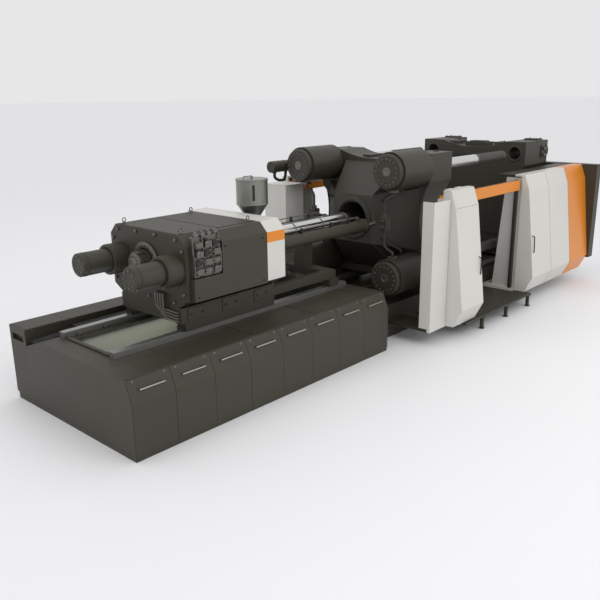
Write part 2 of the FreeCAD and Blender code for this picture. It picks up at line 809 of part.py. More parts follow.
# Clamping cylinders, one on each corner of the stationary platen.
clamp_tube = cut(
    "clamp_tube", rod("clamp_outer", "clamp_cap_end", "platen_back", "-bar_y", "axis_z - bar_up",
                      "clamp_radius"), [
        rod("clamp_room", "clamp_cap_end - 1", "platen_back + 1", "-bar_y", "axis_z - bar_up", "clamp_bore")])
clamp_cylinders = four("clamp_cylinders", clamp_tube)
cap_round = doc.addObject("Part::Fillet", "cap_round")
cap_round.Base = rod("cap_disc", "clamp_cap_start", "clamp_cap_end", "-bar_y", "axis_z - bar_up",
                     "clamp_cap_radius")
doc.recompute()
round_size = size_of("clamp_cap_round")
rim = [index + 1 for index, edge in enumerate(cap_round.Base.Shape.Edges)
       if edge.Closed and abs(edge.CenterOfMass.x - cap_round.Base.Shape.BoundBox.XMin) < 0.01]
cap_round.Edges = [(rim[0], round_size, round_size)]
cylinder_caps = four("cylinder_caps", cap_round)

# Tie bars: piston, plain shaft and a grooved end for the lock nuts.
tie_shapes = [
    rod("tie_shaft", "bar_start", "bar_end - (tooth_count - 1) * tooth_pitch - tooth_land",
        "-bar_y", "axis_z - bar_up", "bar_radius"),
    rod("tie_core", "bar_start", "bar_end", "-bar_y", "axis_z - bar_up", "bar_root"),
    rod("tie_piston", "piston_start", "piston_end", "-bar_y", "axis_z - bar_up", "piston_radius"),
]
for tooth in range(SIZES["tooth_count"]):
    land_end = "bar_end - %d * tooth_pitch" % tooth
    tie_shapes.append(rod("tie_land_%d" % tooth, land_end + " - tooth_land", land_end,
                          "-bar_y", "axis_z - bar_up", "bar_radius"))
tie_bar_1 = fuse("tie_bar_1", tie_shapes)
tie_bar_2 = across("tie_bar_2", tie_bar_1)
tie_bar_3 = above("tie_bar_3", tie_bar_1)
tie_bar_4 = above("tie_bar_4", tie_bar_2)

# Moving platen with its four lock housings, shoes, lug and top box.
moving_plate = concave_plate("moving_plate", "moving_face", "moving_back")
lock_block = box("lock_block", "moving_back - 1", "lock_end",
                 "-bar_y - platen_corner", "-bar_y + platen_corner",
                 "axis_z - bar_up - platen_corner", "axis_z - bar_up + platen_corner")
lock_nose = rod("lock_nose", "lock_end - 1", "lock_nose_end", "-bar_y", "axis_z - bar_up",
                "lock_nose_radius")
lock_bore = rod("lock_bore", "moving_face - 1", "lock_nose_end + 1", "-bar_y", "axis_z - bar_up",
                "guide_radius")
lock_room = box("lock_room", "pocket_start", "pocket_stop",
                "-bar_y - platen_corner - 1", "-bar_y + platen_corner + 1",
                "axis_z - bar_up - nut_half_z", "axis_z - bar_up + nut_half_z")
near_slide = box("near_slide", "moving_face", "shoe_back", "-way_out", "-way_in",
                 "way_top", "axis_z - bar_up - platen_corner + 1")
lug = box("lug", "lug_start", "lug_end", "-way_out", "way_out",
          "way_top + 5", "axis_z - bar_up - platen_corner + 1")
top_box = box("top_box", "top_box_start", "top_box_end", "-top_box_half", "top_box_half",
              "top_box_low", "top_box_high")
moving_solid = fuse("moving_solid", [
    moving_plate, four("lock_blocks", lock_block), four("lock_noses", lock_nose),
    near_slide, across("far_slide", near_slide), lug, top_box])
moving_platen = cut("moving_platen", moving_solid, [
    four("lock_bores", lock_bore), four("lock_rooms", lock_room),
    rod("ejector_bore", "moving_face - 1", "moving_back + 1", "0", "axis_z", "ejector_radius + run_gap"),
] + mould_holes("moving", "moving_face - 1", "moving_face + mould_hole_deep"))

# Lock nuts: half nuts on each side of every tie bar, drawn in their open position.
nut_block = box("nut_block", "nut_start", "nut_end", "-bar_y - nut_open - nut_thick",
                "-bar_y - nut_open - nut_split", "axis_z - bar_up - nut_half_z + run_gap",
                "axis_z - bar_up + nut_half_z - run_gap")
nut_tools = [rod("nut_bore", "nut_start - 1", "nut_end + 1", "-bar_y - nut_open", "axis_z - bar_up",
                 "nut_tip")]
tooth_middle = "bar_end + platen_stroke - tooth_land - (tooth_pitch - tooth_land) / 2 - (%d) * tooth_pitch"
for gap in range(6):
    low = "nut_start - 1"
    high = "nut_end + 1"
    if gap > 0:
        low = tooth_middle % (14 - gap) + " + nut_tooth / 2"
    if gap < 5:
        high = tooth_middle % (13 - gap) + " - nut_tooth / 2"
    nut_tools.append(rod("nut_groove_%d" % gap, low, high, "-bar_y - nut_open", "axis_z - bar_up",
                         "nut_root"))
nut_outer = cut("nut_outer", nut_block, nut_tools)
nut_inner_far = across("nut_inner_far", across("nut_inner", nut_outer, "-bar_y"))
nut_low = group("nut_low", [nut_outer, nut_inner_far])
near_lock_nuts = group("near_lock_nuts", [nut_low, above("nut_high", nut_low)])
far_lock_nuts = across("far_lock_nuts", near_lock_nuts)

# Ejector: one rod through the moving platen and the plate that drives it.
ejector = fuse("ejector", [
    rod("ejector_rod", "ejector_tip", "ejector_plate", "0", "axis_z", "ejector_radius"),
    box("ejector_yoke", "ejector_plate", "ejector_plate + ejector_plate_thick",
        "-ejector_plate_half", "ejector_plate_half",
        "axis_z - ejector_plate_half", "axis_z + ejector_plate_half"),
])

# Travel cylinders under the mould space, and their rods.
travel_solid = rod("travel_outer", "travel_start", "travel_end", "-travel_y", "travel_z", "travel_radius")
travel_saddles = []
for number, saddle_x in enumerate(("travel_start + 200", "travel_end - 400")):
    travel_saddles.append(box(
        "travel_saddle_%d" % number, saddle_x, saddle_x + " + saddle_half",
        "-travel_y - saddle_half", "-travel_y + saddle_half", "clamp_base_top", "travel_z"))
travel_tube = cut("travel_tube", fuse("travel_tube_solid", [travel_solid] + travel_saddles), [
    rod("travel_room", "travel_start + travel_wall", "travel_end - travel_wall",
        "-travel_y", "travel_z", "travel_bore"),
    rod("travel_gland", "travel_end - travel_wall - 1", "travel_end + 1", "-travel_y", "travel_z",
        "travel_rod + run_gap"),
])
travel_cylinders = group("travel_cylinders", [travel_tube, across("travel_tube_far", travel_tube)])
travel_shaft = fuse("travel_shaft", [
    rod("travel_bar", "travel_piston", "lug_start", "-travel_y", "travel_z", "travel_rod"),
    rod("travel_head", "travel_piston", "travel_piston + travel_piston_long", "-travel_y", "travel_z",
        "travel_bore - run_gap"),
])
travel_rods = group("travel_rods", [travel_shaft, across("travel_shaft_far", travel_shaft)])

# Prefill valve beside the far top clamping cylinder.
cylinder_valve = fuse("cylinder_valve", [
    rod("valve_body", "valve_body_start", "valve_body_end", "valve_body_y", "valve_body_z",
        "valve_body_radius"),
    box("valve_foot", "valve_foot_start", "valve_body_end", "bar_y + clamp_radius + run_gap",
        "valve_body_y", "valve_body_z - 60", "valve_body_z + 60"),
])

# Guards. Doors and fixed panels share one folded outline.


def skin(name, x0, x1, out, thick, return_y):
    """Guard panel on the near side: outline moved out by this much, with a lip along the top."""
    lip_y = "-(skin_top_y + skin_lip_shift + %s) + %s" % (out, thick)
    return folded(name, x0, x1, [
        ("-(skin_top_y + %s)" % out, "skin_top_z"),
        ("-(skin_bend_y + %s)" % out, "skin_bend_z"),
        ("-(skin_wide_y + %s)" % out, "skin_wide_z"),
        ("-(skin_low_y + %s)" % out, "skin_low_z"),
        ("-(skin_low_y + %s) + %s" % (out, thick), "skin_low_z"),
        ("-(skin_wide_y + %s) + %s" % (out, thick), "skin_wide_z"),
        ("-(skin_bend_y + %s) + %s" % (out, thick), "skin_bend_z"),
        (lip_y, "skin_top_z - skin_lip"),
        ("-" + return_y, "skin_top_z - skin_lip"),
        ("-" + return_y, "skin_top_z"),
    ])




def end_plate(name, x0, x1, out):
    """Closing plate at the end of a hollow door, from its skin in to an upright edge."""
    return folded(name, x0, x1, [
        ("-(skin_top_y + %s)" % out, "skin_top_z"),
        ("-(skin_bend_y + %s)" % out, "skin_bend_z"),
        ("-(skin_wide_y + %s)" % out, "skin_wide_z"),
        ("-(skin_low_y + %s)" % out, "skin_low_z"),
        ("-plate_in", "skin_low_z"),
        ("-plate_in", "skin_top_z"),
    ])


leaf_shapes = [
    skin("front_leaf", "leaf_start", "leaf_end", "leaf_out", "skin_thick", "plate_in"),
    end_plate("front_leaf_rear_end", "leaf_start", "leaf_start + plate_thick", "leaf_out"),
    end_plate("front_leaf_front_end", "leaf_end - plate_thick", "leaf_end", "leaf_out"),
]
for end, hanger_x in (("rear", "leaf_start + hanger_end"), ("front", "leaf_end - hanger_end - hanger_long")):
    leaf_shapes.append(box(
        "hanger_" + end, hanger_x, hanger_x + " + hanger_long",
        "-plate_in - hanger_in", "-rail_beam_in - hanger_in",
        "rail_beam_high + hanger_gap", "skin_top_z"))
near_front_door = fuse("near_front_door", leaf_shapes)
far_front_door = across("far_front_door", near_front_door)
near_rear_door = fuse("near_rear_door", [
    skin("rear_leaf", "door_start", "door_end", "0", "skin_thick", "skin_return_y"),
    end_plate("rear_leaf_end", "door_start", "door_start + plate_thick", "0"),
])
far_rear_door = across("far_rear_door", near_rear_door)
near_end_guard = skin(
    "near_end_guard", "end_guard_start", "cabinet_start", "0", "skin_thick", "skin_return_y")
far_end_guard = across("far_end_guard", near_end_guard)

cabinet_block = box("cabinet_block", "cabinet_start", "length_all", "-cabinet_half", "cabinet_half",
                    "cabinet_low", "cabinet_top")
cabinet_notch = box("cabinet_notch", "cabinet_start - 1", "length_all + 1",
                    "-clamp_base_half", "clamp_base_half", "cabinet_low - 1", "clamp_base_top")
end_cabinet = cut("end_cabinet", cabinet_block, [cabinet_notch])

bulkhead = folded("bulkhead", "frame_start", "frame_start + frame_thick", [
    ("-frame_out", "frame_top"),
    ("-frame_out", "step_top"),
    ("-frame_low_y", "step_top"),
    ("-frame_top_y", "frame_top"),
])
roof_plate = box("roof_plate", "frame_start", "cabinet_start", "-roof_out", "-roof_in",
                 "frame_top", "roof_top")
sill = box("sill", "sill_start", "cabinet_start", "-frame_out", "-clamp_base_half",
           "step_top", "sill_top")
near_rear_frame = fuse("near_rear_frame", [bulkhead, roof_plate, sill])
far_rear_frame = across("far_rear_frame", near_rear_frame)

step_shapes = [box("step_plate", "step_start", "step_end", "-step_out", "-clamp_base_half",
                   "step_top - step_thick", "step_top")]
for leg in ("leg_1", "leg_2", "leg_3"):
    step_shapes.append(box("step_" + leg, leg, leg + " + step_leg", "-step_out", "-step_out + step_leg",
                           "0", "step_top - step_thick"))
near_step = fuse("near_step", step_shapes)
far_step = across("far_step", near_step)

near_post = box("near_post", "post_start", "post_end", "-post_out", "-post_in",
                "sill_top", "rail_beam_high")
near_rail_beam = box("near_rail_beam", "panel_end", "post_start", "-rail_beam_out", "-rail_beam_in",
                     "rail_beam_low", "rail_beam_high")
near_gantry = fuse("near_gantry", [near_rail_beam, near_post])
door_frames = group("door_frames", [near_gantry, across("far_gantry", near_gantry)])

near_front_guard = fuse("near_front_guard", [
    box("panel_face", "panel_start", "panel_end", "-panel_out", "-panel_out + skin_thick",
        "step_top", "panel_top"),
    box("panel_return", "panel_start", "panel_start + skin_thick", "-panel_out", "-panel_return_y",
        "step_top", "panel_top"),
    box("panel_post", "panel_post_start", "panel_end", "-panel_out", "-rail_beam_in",
        "step_top", "panel_top"),
    box("panel_sill", "panel_start", "panel_end", "-panel_out", "-clamp_base_half",
        "step_top", "sill_top"),
])
far_front_guard = fuse("far_front_guard", [
    box("far_panel_box", "panel_start", "panel_end", "far_box_in", "panel_out",
        "step_top", "far_box_top"),
    box("far_panel_sill", "panel_start", "panel_end", "clamp_base_half", "far_box_in",
        "step_top", "sill_top"),
])

NODES = [
    injection_base, cable_duct, carriage_rails, clamp_base, platen_ways,
    carriage_frame, injection_housing, side_cover, front_cover, valve_manifold,
    near_injection_cylinder, far_injection_cylinder, screw_drive, screw,
    barrel, nozzle, heater_bands, barrel_shield, feed_throat, hopper_gate, hopper, hopper_lid,
    pull_cylinders, pull_rods, stationary_platen, clamp_cylinders, cylinder_caps, cylinder_valve,
    tie_bar_1, tie_bar_2, tie_bar_3, tie_bar_4,
    moving_platen, near_lock_nuts, far_lock_nuts, ejector, travel_cylinders, travel_rods,
    near_front_door, far_front_door, near_rear_door, far_rear_door, near_end_guard, far_end_guard,
    end_cabinet, near_rear_frame, far_rear_frame, near_step, far_step, door_frames,
    near_front_guard, far_front_guard,
] + service_covers

doc.recompute()

for obj in doc.Objects:
    if "Invalid" in obj.State or "Error" in obj.State:
        raise RuntimeError("%s did not build: %s" % (obj.Label, obj.State))
for node in NODES:
    if node.Shape.isNull() or not node.Shape.isValid():
        raise RuntimeError("%s has no valid shape" % node.Label)
os.makedirs("parts", exist_ok=True)
for node in NODES:
    node.Shape.exportStep(os.path.join("parts", node.Label + ".step"))
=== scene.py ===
"""Looks for the injection moulding machine: finishes for every casting, cover and bar, and the
small fittings that a machine of this kind carries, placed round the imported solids."""
import math

import bmesh
import bpy
from mathutils import Matrix, Vector


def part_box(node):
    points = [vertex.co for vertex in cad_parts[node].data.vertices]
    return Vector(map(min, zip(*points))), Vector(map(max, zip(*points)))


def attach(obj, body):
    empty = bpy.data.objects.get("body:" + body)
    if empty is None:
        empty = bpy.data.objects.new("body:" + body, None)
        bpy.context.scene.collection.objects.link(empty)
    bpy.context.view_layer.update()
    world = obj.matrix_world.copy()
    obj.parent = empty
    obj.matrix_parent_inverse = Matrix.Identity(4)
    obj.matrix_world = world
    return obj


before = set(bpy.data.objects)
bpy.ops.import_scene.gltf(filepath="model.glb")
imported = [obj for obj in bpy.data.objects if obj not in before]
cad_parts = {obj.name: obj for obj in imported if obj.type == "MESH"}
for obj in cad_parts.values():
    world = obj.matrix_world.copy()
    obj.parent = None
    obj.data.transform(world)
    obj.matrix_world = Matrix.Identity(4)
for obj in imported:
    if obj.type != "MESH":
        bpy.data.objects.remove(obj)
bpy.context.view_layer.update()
HALF_LENGTH = 6.62
AXIS_Z = 2.177
BAR_Y = 1.101
BAR_HEIGHTS = (1.167, 3.187)
INJECTION_Y, INJECTION_Z = 0.667, 2.15
HOPPER_X, HOPPER_RADIUS = 3.73, 0.2705
PULL_Y, PULL_Z = 0.5, 2.12
TRAVEL_Z = 0.79
VALVE_Y, VALVE_Z = 1.59, 3.15
DECK_TOP = 1.109
TAPPED_PITCH = 0.16
GUARD_PROFILE = ((0.293, 2.195), (0.641, 2.372), (2.542, 2.141), (2.861, 2.024))
HANDLE_Z = 1.35
BEAM_Y = 1.915
FLOOR_REACH = 900


def along(x):
    """Row X of a point counted from the injection end."""
    return x - HALF_LENGTH


def at(x, y, z):
    """Row point whose x is counted from the injection end."""
    return along(x), y, z


# ---------------------------------------------------------------- finishes

class Wire:
    """A socket in a finish, so that shader maths reads as ordinary sums."""

    def __init__(self, finish, socket):
        self.finish = finish
        self.socket = socket

    def _sum(self, operation, first, second):
        return self.finish.node("ShaderNodeMath", {"operation": operation}, {0: first, 1: second})

    def __add__(self, other):
        return self._sum("ADD", self, other)

    def __sub__(self, other):
        return self._sum("SUBTRACT", self, other)

    def __mul__(self, other):
        return self._sum("MULTIPLY", self, other)

    def __gt__(self, other):
        return self._sum("GREATER_THAN", self, other)

    def __lt__(self, other):
        return self._sum("LESS_THAN", self, other)

    def __radd__(self, other):
        return self._sum("ADD", other, self)

    def __rsub__(self, other):
        return self._sum("SUBTRACT", other, self)

    def __rmul__(self, other):
        return self._sum("MULTIPLY", other, self)

    def clamp(self):
        return self.finish.node("ShaderNodeClamp", {}, {0: self})


class Finish:
    """One material with its nodes."""

    def __init__(self, name):
        self.material = bpy.data.materials.new(name)
        self.material.use_nodes = True
        self.tree = self.material.node_tree
        self.shader = self.tree.nodes["Principled BSDF"]
        self.place = self.node("ShaderNodeTexCoord", {}, {}, "Object")

    def node(self, kind, settings, sockets, output=0):
        made = self.tree.nodes.new(kind)
        for key, value in settings.items():
            setattr(made, key, value)
        for key, value in sockets.items():
            self.put(made.inputs[key], value)
        return Wire(self, made.outputs[output])

    def put(self, target, value):
        if isinstance(value, Wire):
            self.tree.links.new(value.socket, target)
        elif target.type == "RGBA":
            target.default_value = (*value, 1)
        else:
            target.default_value = value

    def set(self, name, value):
        self.put(self.shader.inputs[name], value)

    def mix(self, factor, first, second):
        return self.node("ShaderNodeMix", {"data_type": "RGBA"}, {0: factor, 6: first, 7: second},
            2)

    def noise(self, scale, detail=2.0, stretch=(1, 1, 1)):
        place = self.place
        if stretch != (1, 1, 1):
            place = self.node("ShaderNodeMapping", {}, {"Vector": self.place, "Scale": stretch})
        return self.node("ShaderNodeTexNoise", {}, {"Vector": place, "Scale": scale,
            "Detail": detail})

    def axis(self, letter):
        return self.node("ShaderNodeSeparateXYZ", {}, {0: self.place}, letter)

    def line(self, across, centre, width):
        """Mask that is 1 on a line across the given coordinate."""
        return (across > centre - width / 2) * (across < centre + width / 2)

    def up(self):
        normal = self.node("ShaderNodeNewGeometry", {}, {}, "Normal")
        return self.node("ShaderNodeSeparateXYZ", {}, {0: normal}, "Z")

    def round_edges(self, radius):
        """Rounded normal at the edges, and a mask that is 1 on them."""
        soft = self.node("ShaderNodeBevel", {"samples": 4}, {"Radius": radius})
        hard = self.node("ShaderNodeNewGeometry", {}, {}, "Normal")
        same = self.node("ShaderNodeVectorMath", {"operation": "DOT_PRODUCT"}, {0: soft, 1: hard},
            "Value")
        return soft, ((1 - same) * 6).clamp()

    def bump(self, height, strength, distance, normal=None):
        sockets = {"Height": height, "Strength": strength, "Distance": distance}
        if normal is not None:
            sockets["Normal"] = normal
        self.set("Normal", self.node("ShaderNodeBump", {}, sockets))


def tinted(colour, amount):
    return tuple(min(1.0, channel * amount) for channel in colour)


def paint(name, colour, rough=0.42, edge=1.25, coat=0.0, grime=0.1, texture=0.25, radius=0.012):
    """Sprayed machine paint: slow colour drift, fine orange peel and slightly worn edges."""
    finish = Finish(name)
    soft, edges = finish.round_edges(radius)
    drift = finish.noise(0.9, 4.0)
    grain = finish.noise(70.0, 3.0)
    streak = finish.noise(3.0, 3.0, (1.0, 1.0, 0.12))
    tone = finish.mix(drift, tinted(colour, 0.93), tinted(colour, 1.07))
    tone = finish.mix((streak * grime).clamp(), tone, tinted(colour, 0.78))
    tone = finish.mix(edges * 0.6, tone, tinted(colour, edge))
    finish.set("Base Color", tone)
    finish.set("Roughness", (rough - 0.06 + 0.12 * grain + 0.05 * drift).clamp())
    finish.bump(grain, texture, 0.0015, soft)
    finish.set("Coat Roughness", 0.25)
    finish.set("Coat Weight", coat)
    return finish.material


def casting(name, colour, rough=0.5):
    """Painted casting: filled and sprayed, with a soft ripple under the paint."""
    finish = Finish(name)
    soft, edges = finish.round_edges(0.02)
    drift = finish.noise(1.3, 4.0)
    ripple = finish.noise(7.0, 3.0)
    grain = finish.noise(110.0, 2.0)
    tone = finish.mix(drift, tinted(colour, 0.9), tinted(colour, 1.1))
    tone = finish.mix(edges * 0.55, tone, tinted(colour, 1.45))
    finish.set("Base Color", tone)
    finish.set("Roughness", (rough - 0.08 + 0.16 * ripple).clamp())
    finish.bump(ripple * 0.7 + grain * 0.3, 0.3, 0.003, soft)
    return finish.material


def polished(name, colour, rough=0.14, lines=(0.4, 30.0, 30.0), ring=None):
    """Ground and polished steel, toothed and oiled past x where ring = (x, colour)."""
    finish = Finish(name)
    scratch = finish.noise(6.0, 4.0, lines)
    cloud = finish.noise(2.2, 3.0)
    tone = finish.mix(cloud, tinted(colour, 0.88), colour)
    roughness = rough + 0.12 * scratch * cloud
    if ring is not None:
        beyond = finish.axis("X") > ring[0]
        tone = finish.mix(beyond, tone, ring[1])
        roughness = roughness + beyond * 0.32
    finish.set("Base Color", tone)
    finish.set("Metallic", 1.0)
    finish.set("Roughness", roughness.clamp())
    finish.bump(scratch, 0.08, 0.001)
    return finish.material


def machined(name, colour, rough=0.34):
    """Milled or turned steel with a little oil."""
    finish = Finish(name)
    soft, edges = finish.round_edges(0.006)
    cut = finish.noise(26.0, 3.0, (1.0, 5.0, 1.0))
    cloud = finish.noise(1.7, 3.0)
    tone = finish.mix(cloud, tinted(colour, 0.75), colour)
    tone = finish.mix(edges * 0.7, tone, tinted(colour, 1.5))
    finish.set("Base Color", tone)
    finish.set("Metallic", 0.85)
    finish.set("Roughness", (rough + 0.14 * cut - 0.06 * cloud).clamp())
    finish.bump(cut, 0.12, 0.001, soft)
    return finish.material


def rubber(name, colour):
    """Hose rubber and cable jacket."""
    finish = Finish(name)
    braid = finish.noise(160.0, 2.0)
    dust = finish.noise(4.0, 4.0)
    finish.set("Base Color", finish.mix(dust, tinted(colour, 0.8), tinted(colour, 1.3)))
    finish.set("Roughness", (0.55 + 0.2 * braid).clamp())
    finish.bump(braid, 0.3, 0.001)
    return finish.material


DARK = (0.037, 0.0325, 0.0195)
PALE = (0.650, 0.640, 0.595)
ORANGE = (0.73, 0.235, 0.012)

dark_paint = paint("dark_machine_paint", DARK, rough=0.5)
deck_paint = paint("deck_paint", tinted(DARK, 1.05), rough=0.5, grime=0.25)
pale_paint = paint("pale_guard_paint", PALE, rough=0.36, edge=1.1, coat=0.2, grime=0.06,
    texture=0.12)
orange_paint = paint("orange_guard_paint", ORANGE, rough=0.36, edge=1.1, coat=0.2, grime=0.05,
    texture=0.12)
black_paint = paint("black_trim_paint", (0.022, 0.021, 0.019), rough=0.5)
cast_paint = casting("painted_casting", (0.037, 0.0325, 0.0215))
valve_metal = machined("valve_block_steel", (0.17, 0.16, 0.14), rough=0.4)
bare_steel = machined("milled_steel", (0.36, 0.355, 0.34))
bolt_steel = machined("dark_bolt_steel", (0.20, 0.195, 0.18), rough=0.38)
rod_chrome = polished("chromed_rod", (0.72, 0.72, 0.70))
bar_chrome = polished("chromed_tie_bar", (0.72, 0.72, 0.70), rough=0.3,
    ring=(along(9.30), (0.20, 0.195, 0.175)))
shield_steel = polished("polished_shield", (0.70, 0.70, 0.68), rough=0.12, lines=(0.3, 12.0, 12.0))
hopper_steel = machined("stainless_hopper", (0.30, 0.30, 0.265), rough=0.3)
band_metal = machined("heater_band_metal", (0.42, 0.40, 0.36))
hose_rubber = rubber("hose_rubber", (0.020, 0.019, 0.018))
seam_black = rubber("shadow_gap_seal", (0.014, 0.013, 0.012))


def base_paint():
    """Base paint with the panel seams of its end face and the plate seams of its deck."""
    finish = Finish("base_paint_with_seams")
    soft, edges = finish.round_edges(0.012)
    drift = finish.noise(0.9, 4.0)
    grain = finish.noise(70.0, 3.0)
    streak = finish.noise(3.0, 3.0, (0.2, 1.0, 1.0))
    across, height, length = finish.axis("Y"), finish.axis("Z"), finish.axis("X")
    at_end = length < along(0.004)
    seams = finish.line(across, 0.505, 0.006) + finish.line(across, -0.825, 0.006)
    seams = (seams + finish.line(height, 0.812,
        0.005) * (across < 0.51)) * at_end * (height < 1.07)
    seams = (seams + finish.line(height, 0.075, 0.008) * at_end).clamp()
    tone = finish.mix(drift, tinted(DARK, 0.95), tinted(DARK, 1.1))
    # Lighter patches on the up-facing faces where the streak noise is high: dust, and painted light
    # that makes the tops lighter than the sides.
    dust_and_top_light = finish.up().clamp() * (streak > 0.56) * 0.35
    tone = finish.mix(dust_and_top_light.clamp(), tone, tinted(DARK, 1.5))
    tone = finish.mix(edges * 0.6, tone, tinted(DARK, 1.4))
    finish.set("Base Color", finish.mix(seams, tone, (0.006, 0.006, 0.005)))
    finish.set("Roughness", (0.42 + 0.12 * grain + 0.05 * drift).clamp())
    finish.bump(grain * 0.3 - seams, 0.4, 0.003, soft)
    return finish.material


def roofed_paint():
    """Pale frame sheet whose roof plate is sprayed dark."""
    finish = Finish("pale_frame_dark_roof")
    drift = finish.noise(1.1, 4.0)
    grain = finish.noise(80.0, 2.0)
    pale = finish.mix(drift, tinted(PALE, 0.80), tinted(PALE, 0.90))
    roof = finish.axis("Z") > 2.795
    finish.set("Base Color", finish.mix(roof, pale, tinted(DARK, 0.9)))
    finish.set("Roughness", (0.42 + 0.12 * grain).clamp())
    finish.bump(grain, 0.15, 0.001)
    return finish.material


def sheet_paint(name, radius, rough, tone):
    """Smooth paint on guard sheet. tone(finish, drift, edges) gives its colour."""
    finish = Finish(name)
    soft, edges = finish.round_edges(radius)
    drift = finish.noise(1.1, 4.0)
    grain = finish.noise(80.0, 2.0)
    finish.set("Base Color", tone(finish, drift, edges))
    finish.set("Roughness", (rough + 0.1 * grain).clamp())
    finish.bump(grain, 0.12, 0.001, soft)
    return finish.material


def banded_cover():
    """Pale front cover with the orange field on its side faces, under the bevel."""
    def tone(finish, drift, edges):
        pale = finish.mix(drift, tinted(PALE, 0.95), tinted(PALE, 1.04))
        height = finish.axis("Z")
        field = (height > 2.345) * (height < 2.512)
        return finish.mix(edges * 0.4, finish.mix(field, pale, ORANGE), tinted(PALE, 1.1))

    return sheet_paint("front_cover_fields", 0.01, 0.34, tone)


def tread_paint():
    """Step plate with a raised tread pattern."""
    finish = Finish("dark_tread_plate")
    soft, edges = finish.round_edges(0.008)
    studs = finish.node("ShaderNodeTexVoronoi", {}, {"Vector": finish.place, "Scale": 22.0,
        "Randomness": 0.0})
    raised = (studs < 0.28) * finish.up().clamp()
    drift = finish.noise(2.0, 4.0)
    tone = finish.mix(drift, tinted(DARK, 0.7), tinted(DARK, 1.0))
    tone = finish.mix(raised * 0.5 + edges * 0.4, tone, tinted(DARK, 1.7))
    finish.set("Base Color", tone)
    finish.set("Roughness", (0.6 - 0.2 * raised).clamp())
    finish.bump(raised, 0.4, 0.002, soft)
    return finish.material


def cover_paint():
    """Cover paint, with the pull handles left in bare metal."""
    finish = Finish("cover_paint_bare_handles")
    soft, edges = finish.round_edges(0.01)
    drift = finish.noise(0.9, 4.0)
    grain = finish.noise(70.0, 3.0)
    handle = (finish.axis("Y") < -1.562) * (finish.axis("Z") > 0.957)
    tone = finish.mix(drift, tinted(DARK, 0.93), tinted(DARK, 1.1))
    tone = finish.mix(edges * 0.6, tone, tinted(DARK, 1.5))
    finish.set("Base Color", finish.mix(handle, tone, (0.42, 0.41, 0.37)))
    finish.set("Metallic", handle * 0.9)
    finish.set("Roughness", (0.46 + 0.12 * grain - handle * 0.2).clamp())
    finish.bump(grain, 0.25, 0.0015, soft)
    return finish.material


def guard_paint():
    """Pale guard paint whose floor flange is sprayed dark."""
    def tone(finish, drift, edges):
        aside = finish.axis("Y")
        flange = (finish.axis("Z") < 0.346) * (aside > -2.06) * (aside < 0.0)
        pale = finish.mix(drift, tinted(PALE, 0.95), tinted(PALE, 1.04))
        pale = finish.mix(edges * 0.4, pale, tinted(PALE, 1.1))
        return finish.mix(flange, pale, tinted(DARK, 0.9))

    return sheet_paint("pale_guard_dark_flange", 0.01, 0.34, tone)


def gantry_paint():
    """Orange door beam on a dark post."""
    def tone(finish, drift, edges):
        beam = finish.mix(drift, tinted(ORANGE, 0.94), tinted(ORANGE, 1.05))
        post = finish.axis("X") > along(9.8195)
        tone = finish.mix(post, beam, (0.03, 0.028, 0.025))
        return finish.mix(edges * 0.3, tone, tinted(ORANGE, 1.1))

    return sheet_paint("orange_beam_dark_post", 0.008, 0.36, tone)


NODE_FINISH = {
    cover_paint(): ["service_cover_%d" % n for n in range(1, 9)],
    guard_paint(): ["near_front_guard", "far_front_guard"],
    dark_paint: [
        "clamp_base", "injection_housing", "side_cover", "near_injection_cylinder",
        "far_injection_cylinder", "pull_cylinders", "cylinder_valve", "end_cabinet",
        "travel_cylinders", "carriage_frame", "screw_drive"],
    deck_paint: ["cable_duct"],
    base_paint(): ["injection_base"],
    cast_paint: ["stationary_platen", "moving_platen", "clamp_cylinders", "cylinder_caps"],
    bare_steel: ["carriage_rails", "platen_ways", "screw", "barrel", "nozzle", "feed_throat",
                 "hopper_gate", "near_lock_nuts", "far_lock_nuts", "ejector"],
    valve_metal: ["valve_manifold"],
    band_metal: ["heater_bands"],
    shield_steel: ["barrel_shield"],
    hopper_steel: ["hopper", "hopper_lid"],
    rod_chrome: ["pull_rods", "travel_rods"],
    bar_chrome: ["tie_bar_1", "tie_bar_2", "tie_bar_3", "tie_bar_4"],
    pale_paint: ["near_front_door", "far_front_door", "near_rear_door", "far_rear_door"],
    orange_paint: ["near_end_guard", "far_end_guard"],
    roofed_paint(): ["near_rear_frame", "far_rear_frame"],
    banded_cover(): ["front_cover"],
    tread_paint(): ["near_step", "far_step"],
    gantry_paint(): ["door_frames"],
}

for material, names in NODE_FINISH.items():
    for node_name in names:
        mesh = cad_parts[node_name].data
        mesh.materials.clear()
        mesh.materials.append(material)


# ---------------------------------------------------------------- mesh pieces

